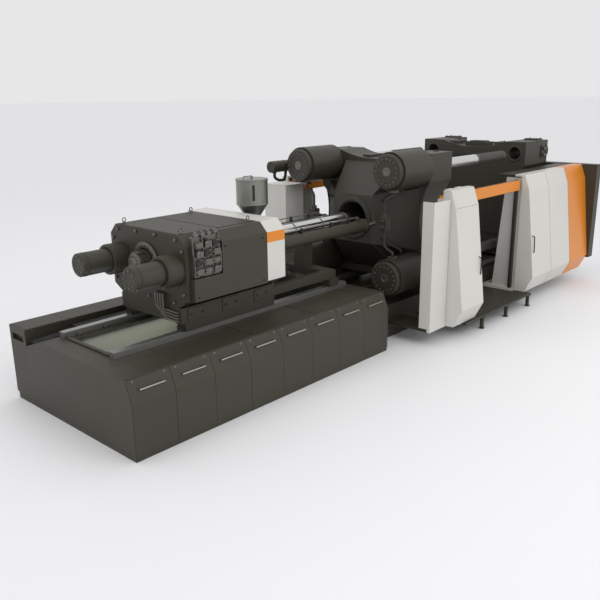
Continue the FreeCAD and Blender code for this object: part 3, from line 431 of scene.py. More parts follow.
class Maker:
    """Collects the shapes of one piece in row coordinates."""

    def __init__(self):
        self.mesh = bmesh.new()

    def block(self, x0, x1, y0, y1, z0, z1):
        made = bmesh.ops.create_cube(self.mesh, size=1.0)["verts"]
        size = Vector((x1 - x0, y1 - y0, z1 - z0))
        centre = Vector(((x0 + x1) / 2, (y0 + y1) / 2, (z0 + z1) / 2))
        for vert in made:
            vert.co = Vector((vert.co.x * size.x, vert.co.y * size.y, vert.co.z * size.z)) + centre

    def span(self, x0, x1, *rest):
        """Block whose ends are counted from the injection end."""
        self.block(along(x0), along(x1), *rest)

    def wall(self, rings, smooth, hollow=False):
        """Faces from ring to ring, and a cap at each end unless the shape is hollow."""
        for low, high in zip(rings, rings[1:] + rings[:1] * hollow):
            for side in range(len(low)):
                after = (side + 1) % len(low)
                face = self.mesh.faces.new((low[side], low[after], high[after], high[side]))
                face.smooth = smooth
        if not hollow:
            self.mesh.faces.new(list(reversed(rings[0])))
            self.mesh.faces.new(rings[-1])

    def lathe(self, start, direction, profile, sides=32, hollow=False):
        """Turned shape of (distance along the axis, radius) pairs: solid, or a ring with a bore."""
        direction = Vector(direction).normalized()
        turn = direction.to_track_quat("Z", "Y").to_matrix()
        start = Vector(start)
        rings = []
        for distance, radius in profile:
            ring = []
            for side in range(sides):
                angle = 2 * math.pi * side / sides
                spot = turn @ Vector((radius * math.cos(angle), radius * math.sin(angle),
                    distance))
                ring.append(self.mesh.verts.new(start + spot))
            rings.append(ring)
        self.wall(rings, sides > 8, hollow)

    def tube(self, points, radius, sides=12):
        """Bent tube through the points, with its corners rounded."""
        path = rounded(points, radius * 3)
        rings = []
        normal = None
        for index, spot in enumerate(path):
            ahead = path[min(index + 1, len(path) - 1)]
            behind = path[max(index - 1, 0)]
            run = (ahead - behind).normalized()
            if normal is None:
                normal = run.orthogonal().normalized()
            normal = (normal - run * normal.dot(run)).normalized()
            across = run.cross(normal)
            ring = []
            for side in range(sides):
                angle = 2 * math.pi * side / sides
                out = normal * math.cos(angle) + across * math.sin(angle)
                ring.append(self.mesh.verts.new(spot + out * radius))
            rings.append(ring)
        self.wall(rings, True)

    def bolt(self, spot, direction, radius):
        """Socket-head screw with a bevelled rim."""
        tall = radius * 1.1
        self.lathe(spot, direction, [(-0.004, radius), (tall * 0.8, radius), (tall, radius * 0.82),
            (tall, radius * 0.5), (tall * 0.5, radius * 0.45)], 12)

    def bolt_ring(self, centre, direction, ring_radius, count, radius, turn=0.0):
        direction = Vector(direction).normalized()
        frame_turn = direction.to_track_quat("Z", "Y").to_matrix()
        for number in range(count):
            angle = turn + 2 * math.pi * number / count
            spot = Vector(centre) + frame_turn @ Vector((ring_radius * math.cos(angle),
                ring_radius * math.sin(angle), 0))
            self.bolt(spot, direction, radius)

    def done(self, name, body, material, bevel=0.0):
        mesh = bpy.data.meshes.new(name)
        bmesh.ops.recalc_face_normals(self.mesh, faces=self.mesh.faces)
        self.mesh.to_mesh(mesh)
        self.mesh.free()
        piece = bpy.data.objects.new(name, mesh)
        bpy.context.collection.objects.link(piece)
        mesh.materials.append(material)
        if bevel:
            rounding = piece.modifiers.new("edge_rounding", "BEVEL")
            rounding.width = bevel
            rounding.segments = 2
            rounding.limit_method = "ANGLE"
            rounding.angle_limit = math.radians(50)
            rounding.use_clamp_overlap = True
        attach(piece, body)
        return piece


def rounded(points, radius):
    """The points of a route with an arc at each corner."""
    points = [Vector(spot) for spot in points]
    path = [points[0]]
    for before, corner, after in zip(points, points[1:], points[2:]):
        reach = min(radius, (before - corner).length * 0.45, (after - corner).length * 0.45)
        start = corner + (before - corner).normalized() * reach
        stop = corner + (after - corner).normalized() * reach
        for step in range(7):
            share = step / 6
            path.append(start.lerp(corner, share).lerp(corner.lerp(stop, share), share))
    path.append(points[-1])
    return path


# ---------------------------------------------------------------- injection base

def base_fittings():
    deck = Maker()
    for x in (0.9, 2.3, 3.7, 5.1):
        deck.span(x, x + 0.012, -1.47, -0.74, DECK_TOP, 1.114)
    deck.span(0.02, 5.5, -1.472, -1.462, DECK_TOP, 1.118)
    deck.span(0.36, 0.42, -0.56, 0.56, DECK_TOP, 1.135)
    deck.done("deck_seams", "frame", dark_paint, 0.002)

    clips = Maker()
    for side in (-1, 1):
        for step in range(11):
            x = along(0.55 + step * 0.46)
            clips.block(x, x + 0.09, side * 0.575 - 0.025, side * 0.575 + 0.025, DECK_TOP, 1.15)
            clips.bolt((x + 0.045, side * 0.575, 1.15), (0, 0, 1), 0.014)
    clips.done("rail_clamps", "frame", bolt_steel, 0.003)

    chain = Maker()
    for link in range(52):
        x = along(0.75 + link * 0.075)
        chain.block(x, x + 0.066, 0.83, 1.07, 1.0425 + 0.02 * (link % 2), 1.135)
        chain.block(x + 0.01, x + 0.056, 0.815, 1.085, 1.06, 1.115)
    chain.done("energy_chain", "frame", seam_black, 0.004)

    trough = Maker()
    for number in range(3):
        y = 0.93 + number * 0.055
        trough.tube([at(0.05, y, 1.04), at(0.5, y, 1.055), at(0.74, y, 1.09)], 0.019)
    trough.done("trough_hoses", "frame", hose_rubber)

    duct = Maker()
    for number in range(8):
        x = along(0.02 + number * 0.69)
        duct.block(x, x + 0.65, 1.14, 1.598, 1.2125, 1.216)
    duct.done("duct_lids", "frame", deck_paint, 0.002)

    far = Maker()
    for number in range(8):
        x = along(0.02 + number * 0.69)
        far.block(x, x + 0.65, 1.6115, 1.6119, 0.16, 1.16)
        far.block(x + 0.25, x + 0.40, 1.606, 1.612, 1.05, 1.09)
    far.done("duct_side_panels", "frame", dark_paint)


def cover_fittings():
    """Two quarter-turn locks on each service cover."""
    for number in range(1, 9):
        low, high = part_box("service_cover_%d" % number)
        parts = Maker()
        for x in (low.x + 0.09, high.x - 0.09):
            lock = Vector((x, -1.5035, 1.077))
            parts.lathe(lock, (0, -0.925, 0.381), [(-0.006, 0.016), (0.003, 0.016), (0.006, 0.012),
                (0.006, 0.004)], 16)
        parts.done("service_cover_%d_locks" % number, "service_cover_%d" % number, bolt_steel,
            0.001)


# ---------------------------------------------------------------- injection unit

def housing_fittings():
    rear = along(1.508)
    bolts = Maker()
    for y, z in ((-0.72, 2.59), (-0.24, 2.61), (0.24, 2.61), (0.72, 2.59), (-0.86, 2.44),
            (0.86, 2.44), (-0.86, 1.80), (0.86, 1.80), (-0.62, 1.64), (0.0, 1.64), (0.62, 1.64)):
        bolts.bolt((rear, y, z), (-1, 0, 0), 0.026)
    for side in (-1, 1):
        bolts.bolt_ring(at(1.25, side * INJECTION_Y, INJECTION_Z), (-1, 0, 0), 0.212, 12, 0.015)
        bolts.bolt_ring(at(0.731, side * INJECTION_Y, INJECTION_Z), (-1, 0, 0), 0.125, 8, 0.014)
    bolts.done("housing_bolts", "carriage", bolt_steel)

    flange = Maker()
    flange.lathe((rear + 0.002, 0, AXIS_Z), (-1, 0, 0), [(0, 0.30), (0.035, 0.30), (0.045, 0.285),
        (0.045, 0.215), (0.03, 0.205), (0.0, 0.205)], 48, hollow=True)
    flange.bolt_ring((rear - 0.043, 0, AXIS_Z), (-1, 0, 0), 0.25, 16, 0.016)
    flange.done("drive_flange", "carriage", valve_metal, 0.002)

    rims = Maker()
    for side in (-1, 1):
        rims.lathe(at(1.235, side * INJECTION_Y, INJECTION_Z), (1, 0, 0),
            [(-0.01, 0.183), (-0.01, 0.232), (0.0, 0.238), (0.014, 0.238)], 48, hollow=True)
        rims.lathe(at(0.80, side * INJECTION_Y, INJECTION_Z), (1, 0, 0),
            [(0, 0.1805), (0.004, 0.1835), (0.03, 0.1835), (0.034, 0.1805)], 48, hollow=True)
    rims.done("injection_cylinder_rims", "carriage", dark_paint, 0.002)

    top = Maker()
    top.span(1.53, 2.25, -0.76, 0.76, 2.6615, 2.669)
    top.span(2.27, 3.03, -0.76, 0.76, 2.6615, 2.669)
    for x in (1.75, 2.05, 2.5, 2.8):
        for y in (-0.62, 0.62):
            top.lathe(at(x, y, 2.667), (0, 0, 1), [(0, 0.018), (0.005, 0.018), (0.007, 0.012)], 16)
    top.done("housing_top_covers", "carriage", dark_paint, 0.002)

    eyes = Maker()
    for x, y in ((1.62, -0.70), (1.62, 0.70), (2.95, -0.70), (2.95, 0.70)):
        base = Vector(at(x, y, 2.668))
        eyes.lathe(base, (0, 0, 1), [(0, 0.028), (0.012, 0.028), (0.016, 0.018), (0.03, 0.014)],
            16)
        loop = [base + Vector((0.03 * math.cos(a * math.pi / 8), 0,
            0.052 + 0.03 * math.sin(a * math.pi / 8))) for a in range(16)]
        eyes.tube(loop + [loop[0]], 0.008, 8)
    eyes.done("lifting_eyes", "carriage", bolt_steel)

    seams = Maker()
    seams.span(3.0410, 3.0445, -1.031, -0.93, 1.735, 2.51)
    seams.span(2.108, 2.112, -1.0305, -0.935, 2.05, 2.51)
    for x in (1.64, 2.95):
        seams.bolt(at(x, -1.0295, 1.76), (0, -1, 0), 0.012)
    for x in (2.17, 2.95):
        seams.bolt(at(x, -1.0295, 2.44), (0, -1, 0), 0.012)
    seams.done("side_cover_seams", "carriage", seam_black)


def drive_fittings():
    motor = Maker()
    back = along(1.30)
    motor.lathe((back + 0.05, 0, AXIS_Z), (-1, 0, 0), [(0, 0.152), (0.05, 0.156), (0.075, 0.156),
        (0.085, 0.14), (0.085, 0.10), (0.12, 0.095), (0.13, 0.08), (0.13, 0.03)], 40)
    motor.block(back - 0.02, back + 0.1, -0.075, 0.075, AXIS_Z + 0.12, AXIS_Z + 0.168)
    motor.block(back - 0.02, back + 0.1, 0.12, 0.168, AXIS_Z - 0.07, AXIS_Z + 0.07)
    motor.bolt_ring((back - 0.034, 0, AXIS_Z), (-1, 0, 0), 0.12, 9, 0.013)
    for y in (-0.045, 0.045):
        motor.lathe((back + 0.04, y, AXIS_Z + 0.166), (0, 0, 1),
            [(0, 0.016), (0.010, 0.016), (0.012, 0.010)], 6)
    motor.done("drive_motor_head", "screw_drive", valve_metal, 0.002)


def manifold_fittings():
    """Valves, coils, plugs and pipes that crowd the drilled block."""
    face = -1.0
    valves = Maker()
    coils = Maker()
    pipes = Maker()
    for column in range(3):
        for level in range(4):
            kind = (column * 7 + level * 5) % 4
            x = along(1.62 + column * 0.16) + 0.012 * (kind - 1.5)
            z = 2.09 + level * 0.13
            reach = face - 0.056
            centre = z + 0.045
            if kind == 0:
                valves.lathe((x + 0.04, -0.99, centre), (0, -1, 0),
                    [(0, 0.046), (0.02, 0.046), (0.026, 0.034), (0.048, 0.034), (0.055, 0.024)],
                    24)
                coils.block(x + 0.07, x + 0.135, reach, -0.99, z - 0.02, z + 0.07)
            elif kind == 1:
                coils.block(x - 0.012, x + 0.06, reach - 0.006, -0.99, z + 0.002, z + 0.088)
                coils.lathe((x + 0.055, reach + 0.028, centre), (1, 0, 0),
                    [(0, 0.029), (0.06, 0.029), (0.066, 0.018)], 20)
            elif kind == 2:
                valves.lathe((x + 0.03, reach + 0.02, centre + 0.02), (0, -1, 0),
                    [(0, 0.032), (0.025, 0.032), (0.03, 0.02), (0.04, 0.012)], 6)
                valves.lathe((x + 0.085, reach + 0.02, centre - 0.02), (0, -1, 0),
                    [(0, 0.020), (0.03, 0.020), (0.034, 0.010)], 12)
                coils.lathe((x + 0.03, reach + 0.028, z + 0.085), (0, 0, 1),
                    [(0, 0.028), (0.04, 0.028), (0.046, 0.016)], 20)
            else:
                valves.block(x, x + 0.10, reach + 0.004, -0.99, z + 0.03, z + 0.075)
                valves.lathe((x - 0.002, reach + 0.028, centre + 0.006), (-1, 0, 0),
                    [(0, 0.024), (0.018, 0.024), (0.022, 0.014)], 6)
                valves.bolt((x + 0.03, reach + 0.004, z + 0.052), (0, -1, 0), 0.01)
                valves.bolt((x + 0.075, reach + 0.004, z + 0.052), (0, -1, 0), 0.01)
    for number, (x, low, high) in enumerate(((1.60, 2.06, 2.63), (1.775, 2.20, 2.66),
            (1.94, 2.07, 2.52), (2.085, 2.12, 2.65))):
        out = -1.022 - 0.006 * (number % 2)
        pipes.tube([at(x, -0.97, low), at(x, out, low), (along(x), out, (low + high) / 2),
            (along(x - 0.025), out, (low + high) / 2 + 0.05), at(x - 0.025, out, high),
            at(x - 0.025, -0.94, high)], 0.011, 10)
    for x in (1.64, 1.76, 1.88, 2.0):
        valves.span(x, x + 0.075, -0.99, -0.935, 2.632, 2.68)
        valves.lathe(at(x + 0.037, -0.96, 2.675), (0, 0, 1), [(0, 0.026), (0.03, 0.026),
            (0.035, 0.018)], 6)
    valves.done("manifold_valves", "carriage", bolt_steel, 0.0015)
    coils.done("manifold_coils", "carriage", seam_black, 0.002)
    pipes.done("manifold_pipes", "carriage", valve_metal)


def barrel_fittings():
    shield = Maker()
    for x in (3.90, 4.65, 5.40, 6.15, 6.86):
        shield.lathe(at(x, 0, AXIS_Z), (1, 0, 0), [(0, 0.1495), (0.002, 0.1535), (0.034, 0.1535),
            (0.036, 0.1495)], 48, hollow=True)
    shield.done("shield_clamp_bands", "carriage", bolt_steel, 0.001)

    box = Maker()
    box.span(4.05, 4.42, -0.36, -0.155, 1.93, 2.02)
    box.span(4.10, 4.36, -0.34, -0.16, 1.72, 1.93)
    box.span(4.12, 4.34, -0.345, -0.335, 1.75, 1.90)
    for z in (1.77, 1.88):
        for x in (4.14, 4.32):
            box.bolt(at(x, -0.345, z), (0, -1, 0), 0.009)
    for x in (4.16, 4.23, 4.30):
        box.lathe(at(x, -0.25, 1.722), (0, 0, -1), [(0, 0.022), (0.03, 0.022), (0.035, 0.016)], 6)
    box.done("heater_junction_box", "carriage", dark_paint, 0.004)

    leads = Maker()
    for number, x in enumerate((4.16, 4.23, 4.30)):
        leads.tube([at(x, -0.25, 1.70), at(x, -0.25, 1.56 - 0.02 * number),
            at(x - 0.15, -0.40, 1.53), at(3.50, -0.62, 1.50 + 0.012 * number)], 0.014)
    for number in range(6):
        x = along(4.05 + number * 0.45 + 0.13)
        leads.tube([(x, -0.155, 2.13), (x, -0.19, 2.07), (x - 0.05, -0.20, 2.035),
            at(4.40, -0.21 - 0.012 * number, 2.035)], 0.008)
    leads.done("heater_leads", "carriage", hose_rubber)

    glands = Maker()
    for side in (-1, 1):
        y = side * PULL_Y
        glands.lathe(at(3.445, y, PULL_Z), (1, 0, 0), [(0, 0.112), (0, 0.128), (0.05, 0.128),
            (0.056, 0.113)], 40, hollow=True)
        glands.lathe(at(6.14, y, PULL_Z), (1, 0, 0), [(0, 0.1105), (0.01, 0.126), (0.09, 0.126),
            (0.097, 0.118), (0.1005, 0.06), (0.1005, 0.047), (0.098, 0.047), (0.098, 0.1)], 40,
            hollow=True)
        glands.bolt_ring(at(6.237, y, PULL_Z), (1, 0, 0), 0.095, 8, 0.011)
        glands.span(5.98, 6.08, y - 0.035, y + 0.035, 2.21, 2.27)
        glands.span(3.56, 3.66, y - 0.035, y + 0.035, 2.21, 2.27)
    glands.done("pull_cylinder_glands", "carriage", dark_paint, 0.002)

    lines = Maker()
    for side in (-1, 1):
        y = side * PULL_Y
        lines.tube([at(6.03, y, 2.262), at(6.03, y, 2.30), at(5.8, y, 2.30), at(3.62, y, 2.30),
            at(3.50, y * 1.02, 2.30), at(3.44, y * 1.02, 2.36), at(3.42, y * 1.02, 2.36)], 0.011)
    lines.done("pull_cylinder_pipes", "carriage", bare_steel)

    clamps = Maker()
    for x in (4.4, 5.2, 5.7):
        for side in (-1, 1):
            clamps.span(x, x + 0.03, side * 0.5 - 0.03, side * 0.5 + 0.03, 2.225, 2.318)
    clamps.done("pull_pipe_clamps", "carriage", seam_black, 0.003)


def hopper_fittings():
    x = along(HOPPER_X)
    bands = Maker()
    for z, radius in ((3.192, HOPPER_RADIUS), (2.796, HOPPER_RADIUS)):
        bands.lathe((x, 0, z - 0.012), (0, 0, 1), [(0, radius - 0.002), (0.003, radius + 0.006),
            (0.017, radius + 0.006), (0.02, radius - 0.002)], 64, hollow=True)
    bands.done("hopper_bands", "carriage", hopper_steel, 0.001)

    seam = Maker()
    for turn in (math.radians(-95), math.radians(85)):
        spot = Vector((x + HOPPER_RADIUS * math.cos(turn), HOPPER_RADIUS * math.sin(turn), 2.81))
        seam.tube([spot, spot + Vector((0, 0, 0.37))], 0.0035, 8)
    seam.done("hopper_seam_welds", "carriage", bare_steel)

    sight = Maker()
    for angle in (-128, 40):
        turn = math.radians(angle)
        out = Vector((math.cos(turn), math.sin(turn), 0))
        side = Vector((-out.y, out.x, 0))
        centre = Vector((x, 0, 3.0)) + out * HOPPER_RADIUS
        corners = []
        for a, b in ((-0.022, -0.13), (0.022, -0.13), (0.022, 0.13), (-0.022, 0.13)):
            corners.append(centre + side * a + Vector((0, 0, b)))
        inner = [sight.mesh.verts.new(spot - out * 0.006) for spot in corners]
        outer = [sight.mesh.verts.new(spot + out * 0.005) for spot in corners]
        sight.mesh.faces.new(outer)
        for a in range(4):
            sight.mesh.faces.new((inner[a], inner[(a + 1) % 4], outer[(a + 1) % 4], outer[a]))
    sight.done("hopper_sight_strips", "carriage", seam_black, 0.002)

    flange = Maker()
    flange.bolt_ring((x, 0, 2.5100), (0, 0, 1), 0.128, 8, 0.010)
    for side in (-1, 1):
        for near in (3.655, 3.805):
            flange.lathe(at(near, side * 0.199, 2.30), (0, side, 0),
                [(0, 0.02), (0.02, 0.02), (0.03, 0.013), (0.05, 0.013)], 6)
    flange.done("feed_flange_bolts", "carriage", bolt_steel)

    grip = Maker()
    grip.lathe((x, 0, 3.2545), (0, 0, 1), [(0, 0.012), (0.001, 0.02), (0.0, 0.02)], 24)
    grip.tube([(x - 0.10, 0.10, 3.214), (x - 0.10, 0.10, 3.245), (x + 0.10, 0.10, 3.245),
        (x + 0.10, 0.10, 3.214)], 0.007)
    grip.done("lid_grip", "hopper_lid", bolt_steel)

    hinge = Maker()
    hinge.lathe(at(4.0, -0.06, 3.192), (0, 1, 0), [(0, 0.009), (0.12, 0.009)], 16)
    hinge.done("lid_hinge_pin", "carriage", bolt_steel)


def carriage_fittings():
    side = Maker()
    for sign in (-1, 1):
        y = sign * 0.76
        for x in (1.62, 2.3, 2.98):
            side.span(x, x + 0.34, y - 0.012, y + 0.012, 1.35, 1.55)
        for x in (1.68, 1.9, 2.36, 2.58, 3.04, 3.26):
            side.bolt(at(x, y + sign * 0.012, 1.45), (0, sign, 0), 0.018)
    side.done("carriage_side_plates", "carriage", dark_paint, 0.004)

    wipers = Maker()
    for sign in (-1, 1):
        low = sign * 0.66 - 0.085
        for x in (1.545, 5.121):
            wipers.span(x, x + 0.014, low, low + 0.17, 1.2005, 1.26)
    wipers.done("rail_wipers", "carriage", seam_black, 0.002)

    pipes = Maker()
    for number in range(4):
        z = 1.40 + number * 0.045
        pipes.tube([at(1.50, -0.42 + 0.06 * number, 1.75), at(1.44, -0.42 + 0.06 * number, 1.75),
            at(1.44, -0.42 + 0.06 * number, z), at(1.49, -0.60 - 0.03 * number, z - 0.04),
            at(1.507, -0.70, z - 0.04)], 0.017)
    pipes.done("carriage_rear_pipes", "carriage", valve_metal)


# ---------------------------------------------------------------- clamp unit

def clamp_fittings():
    caps = Maker()
    rings = Maker()
    for y in (-BAR_Y, BAR_Y):
        for z in BAR_HEIGHTS:
            front = at(6.087, y, z)
            caps.bolt_ring(front, (-1, 0, 0), 0.235, 16, 0.017)
            caps.lathe(at(6.088, y, z), (-1, 0, 0), [(0, 0.085), (0.006, 0.085), (0.008, 0.075),
                (0.008, 0.05), (0.002, 0.045)], 40)
            rings.lathe(at(6.186, y, z), (1, 0, 0), [(0, 0.326), (0.0, 0.352), (0.012, 0.3595),
                (0.014, 0.3595)], 72, hollow=True)
            low, high = (0.345, 0.40) if z < AXIS_Z else (-0.40, -0.345)
            caps.span(6.28, 6.42, y - 0.06, y + 0.06, z + low, z + high)
    caps.done("clamp_cap_bolts", "frame", bolt_steel, 0.0015)
    rings.done("clamp_cylinder_rings", "frame", cast_paint, 0.0015)

    pipes = Maker()
    for side in (-1, 1):
        y = side * BAR_Y
        pipes.tube([at(6.35, y, 1.56), at(6.35, y, 1.63), at(6.35, side * 0.90, 1.72),
            at(6.35, side * 0.90, 2.62), at(6.35, y, 2.72), at(6.35, y, 2.79)], 0.026, 14)
        for outer, bend, middle, inner in ((1.516, 1.60, 1.68, 1.82), (2.835, 2.75, 2.68, 2.54)):
            pipes.tube([at(6.78, side * 1.0, outer), at(6.78, side * 1.0, bend),
                at(6.70, side * 0.84, middle), at(6.62, side * 0.62, inner)], 0.02, 14)
    pipes.done("clamp_cylinder_pipes", "frame", cast_paint)

    blocks = Maker()
    for side in (-1, 1):
        blocks.span(6.28, 6.44, side * 0.90 - 0.075, side * 0.90 + 0.075, 2.05, 2.30)
        blocks.lathe(at(6.36, side * 0.90, 2.295), (0, 0, 1), [(0, 0.05), (0.06, 0.05),
            (0.07, 0.04)], 24)
        blocks.lathe(at(6.285, side * 0.90, 2.11), (-1, 0, 0),
            [(0, 0.04), (0.05, 0.04), (0.06, 0.03)], 24)
        blocks.lathe(at(6.285, side * 0.90, 2.23), (-1, 0, 0),
            [(0, 0.03), (0.03, 0.03), (0.04, 0.02)], 6)
    blocks.done("clamp_valve_blocks", "frame", cast_paint, 0.004)

    rear = Maker()
    back = along(7.14)
    for y, z in ((-0.55, 3.16), (0.55, 3.16), (-0.3, 3.20), (0.3, 3.20), (-0.55, 1.18),
            (0.55, 1.18), (-1.05, 1.75), (-1.05, 2.6), (1.05, 1.75), (1.05, 2.6)):
        on_wing = abs(y) > 0.9
        rear.bolt((back if on_wing else back - 0.001, y, z), (-1, 0, 0),
            0.03 if on_wing else 0.028)
    rear.bolt_ring(at(6.50, 0, AXIS_Z), (-1, 0, 0), 0.40, 16, 0.022)
    rear.lathe(at(6.503, 0, AXIS_Z), (-1, 0, 0), [(0, 0.44), (0.02, 0.44), (0.03, 0.43),
        (0.03, 0.352), (0.0, 0.345)], 72, hollow=True)
    rear.done("platen_boss_ring", "frame", cast_paint, 0.002)

    pads = Maker()
    for x, y in ((7.35, -1.101), (7.35, 1.101), (7.75, -1.101), (7.75, 1.101)):
        pads.lathe(at(x, y, 3.4565), (0, 0, 1), [(0, 0.05), (0.012, 0.05), (0.02, 0.04)], 24)
    for y in (-0.28, 0.28):
        pads.span(7.30, 7.78, y - 0.09, y + 0.09, 3.31, 3.365)
    pads.done("platen_top_pads", "frame", cast_paint, 0.004)

    foot = Maker()
    for side in (-1, 1):
        for x in (7.24, 7.80):
            foot.span(x, x + 0.07, side * 1.19 - 0.09, side * 1.19 + 0.005, 0.65, 0.70)
            foot.bolt(at(x + 0.035, side * 1.16, 0.70), (0, 0, 1), 0.022)
    foot.done("platen_foot_clamps", "frame", bolt_steel, 0.003)


def mould_face_fittings():
    """Tapped holes and slots over both mould faces, drawn as shallow black cups and strips: painted
    shade in the holes and slots.
    """
    for name, body, face, way in (("fixed", "frame", 7.930, 1),
            ("moving", "moving_platen", 11.213, -1)):
        holes = Maker()
        for column in range(-5, 6):
            for level in range(-5, 6):
                y = column * TAPPED_PITCH
                z = AXIS_Z + level * TAPPED_PITCH
                if abs(column) == 3 and abs(level) == 3:
                    continue
                if math.hypot(y, z - AXIS_Z) < 0.2:
                    continue
                holes.lathe((along(face) - way * 0.004, y, z), (way, 0, 0),
                    [(0, 0.022), (0.005, 0.022), (0.005, 0.015), (0.003, 0.014)], 12)
        holes.done(name + "_face_tapped_holes", body, seam_black)
        plate = Maker()
        plate.lathe((along(face) - way * 0.004, 0, AXIS_Z), (way, 0, 0),
            [(0, 0.19), (0.0055, 0.19), (0.0055, 0.135), (0.0, 0.13)], 64, hollow=True)
        plate.done(name + "_face_ring", body, bare_steel, 0.001)
        # Thin black strips flush with the face: painted shade in the slots.
        slots = Maker()
        for level in (-0.94, 0.94):
            for row in (-0.045, 0.0):
                z = AXIS_Z + level + row
                slots.block(along(face) - 0.0035, along(face) + 0.0035, -0.80, 0.80, z, z + 0.02)
        slots.done(name + "_face_slots", body, seam_black)


def moving_fittings():
    rings = Maker()
    for y in (-BAR_Y, BAR_Y):
        for z in BAR_HEIGHTS:
            rings.lathe(at(11.216, y, z), (-1, 0, 0), [(0, 0.19), (0.010, 0.19), (0.014, 0.184),
                (0.014, 0.150), (0.0, 0.143)], 56, hollow=True)
            rings.bolt_ring(at(11.203, y, z), (-1, 0, 0), 0.168, 12, 0.009)
            rings.lathe(at(12.555, y, z), (1, 0, 0), [(-0.03, 0.2305), (0.0, 0.2305),
                (0.004, 0.222), (0.004, 0.150), (-0.02, 0.143)], 56, hollow=True)
    rings.done("guide_bush_rings", "moving_platen", cast_paint, 0.001)

    boxes = Maker()
    boxes.span(11.42, 11.66, -0.20, 0.20, 3.414, 3.442)
    for y in (-0.62, 0.62):
        boxes.span(11.33, 11.72, y - 0.12, y + 0.12, 3.36, 3.43)
        boxes.bolt(at(11.45, y, 3.43), (0, 0, 1), 0.018)
        boxes.bolt(at(11.62, y, 3.43), (0, 0, 1), 0.018)
    for y in (-BAR_Y, BAR_Y):
        boxes.span(12.02, 12.30, y - 0.17, y + 0.17, 3.455, 3.49)
        for x in (12.06, 12.26):
            for shift in (-0.13, 0.13):
                boxes.bolt(at(x, y + shift, 3.49), (0, 0, 1), 0.014)
    boxes.done("moving_platen_boxes", "moving_platen", cast_paint, 0.006)

    actuators = Maker()
    bridges = Maker()
    for side in (-1, 1):
        for z in BAR_HEIGHTS:
            bridges.span(12.07, 12.25, side * 1.371 - 0.004, side * 1.371 + 0.004, z - 0.155,
                z + 0.155)
            for lift in (-0.075, 0.075):
                actuators.lathe(at(12.16, side * 1.3715, z + lift), (0, side, 0),
                    [(-0.002, 0.042), (0.05, 0.042), (0.056, 0.034), (0.056, 0.015)], 24)
    actuators.done("lock_nut_cylinders", "moving_platen", bolt_steel, 0.001)
    bridges.done("lock_nut_bridges", "moving_platen", cast_paint, 0.001)

    pipes = Maker()
    for side in (-1, 1):
        pipes.tube([at(x, side * y, z) for x, y, z in ((11.62, 0.20, 3.40), (11.62, 0.34, 3.40),
            (11.80, 0.50, 3.40), (12.10, 0.80, 3.40), (12.10, 0.835, 3.38))], 0.016)
    pipes.done("lock_nut_pipes", "moving_platen", valve_metal)


def valve_fittings():
    body = Maker()
    x = along(5.79)
    body.lathe((x + 0.002, VALVE_Y, VALVE_Z), (-1, 0, 0), [(-0.03, 0.117), (0, 0.117),
        (0.004, 0.112), (0.004, 0.07), (-0.002, 0.065)], 40, hollow=True)
    body.bolt_ring((x - 0.001, VALVE_Y, VALVE_Z), (-1, 0, 0), 0.092, 8, 0.010)
    for shift in (0.10, 0.22, 0.34):
        body.lathe((x + shift, VALVE_Y, VALVE_Z), (1, 0, 0), [(0, 0.1152), (0.003, 0.119),
            (0.03, 0.119), (0.033, 0.1152)], 40, hollow=True)
    body.lathe(at(5.90, VALVE_Y, 3.045), (0, 0, -1), [(0, 0.045), (0.03, 0.045), (0.035, 0.036)],
        6)
    body.done("prefill_valve_rings", "frame", cast_paint, 0.001)
    elbow = Maker()
    elbow.tube([at(5.90, VALVE_Y, 3.02), at(5.90, VALVE_Y, 2.93), at(6.02, VALVE_Y, 2.86),
        at(6.16, VALVE_Y, 2.86), at(6.19, VALVE_Y, 2.86), at(6.22, VALVE_Y, 2.93),
        at(6.22, 1.57, 3.06)], 0.03, 16)
    elbow.done("prefill_valve_hose", "frame", hose_rubber)


def travel_fittings():
    glands = Maker()
    for side in (-1, 1):
        y = side * PULL_Y
        glands.lathe(at(8.80, y, TRAVEL_Z), (1, 0, 0), [(0, 0.081), (0.005, 0.098), (0.09, 0.098),
            (0.096, 0.09), (0.1035, 0.06), (0.1035, 0.042), (0.1005, 0.042), (0.1005, 0.079)], 40,
            hollow=True)
        glands.bolt_ring(at(8.898, y, TRAVEL_Z), (1, 0, 0), 0.075, 6, 0.009)
        glands.lathe(at(6.298, y, TRAVEL_Z), (1, 0, 0), [(0.002, 0.079), (0.002, 0.092),
            (0.05, 0.092), (0.055, 0.081)], 40, hollow=True)
    glands.done("travel_cylinder_glands", "frame", dark_paint, 0.001)
    wipers = Maker()
    for side in (-1, 1):
        wipers.span(11.196, 11.2125, side * 0.95 - 0.105, side * 0.95 + 0.105, 0.7005, 0.80)
    wipers.done("way_wipers", "moving_platen", seam_black, 0.002)
    yoke = Maker()
    yoke.bolt_ring(at(12.18, 0, AXIS_Z), (1, 0, 0), 0.11, 8, 0.018)
    for y in (-0.24, 0.24):
        for z in (-0.24, 0.24):
            yoke.bolt(at(12.18, y, AXIS_Z + z), (1, 0, 0), 0.024)
    yoke.done("ejector_bolts", "ejector", bolt_steel)


# ---------------------------------------------------------------- guards

def skin_y(z, out=0.0):
    """Outer face of the guards at this height."""
    for (low, low_y), (high, high_y) in zip(GUARD_PROFILE, GUARD_PROFILE[1:]):
        if z <= high:
            return low_y + (high_y - low_y) * (z - low) / (high - low) + out
    return GUARD_PROFILE[-1][1] + out


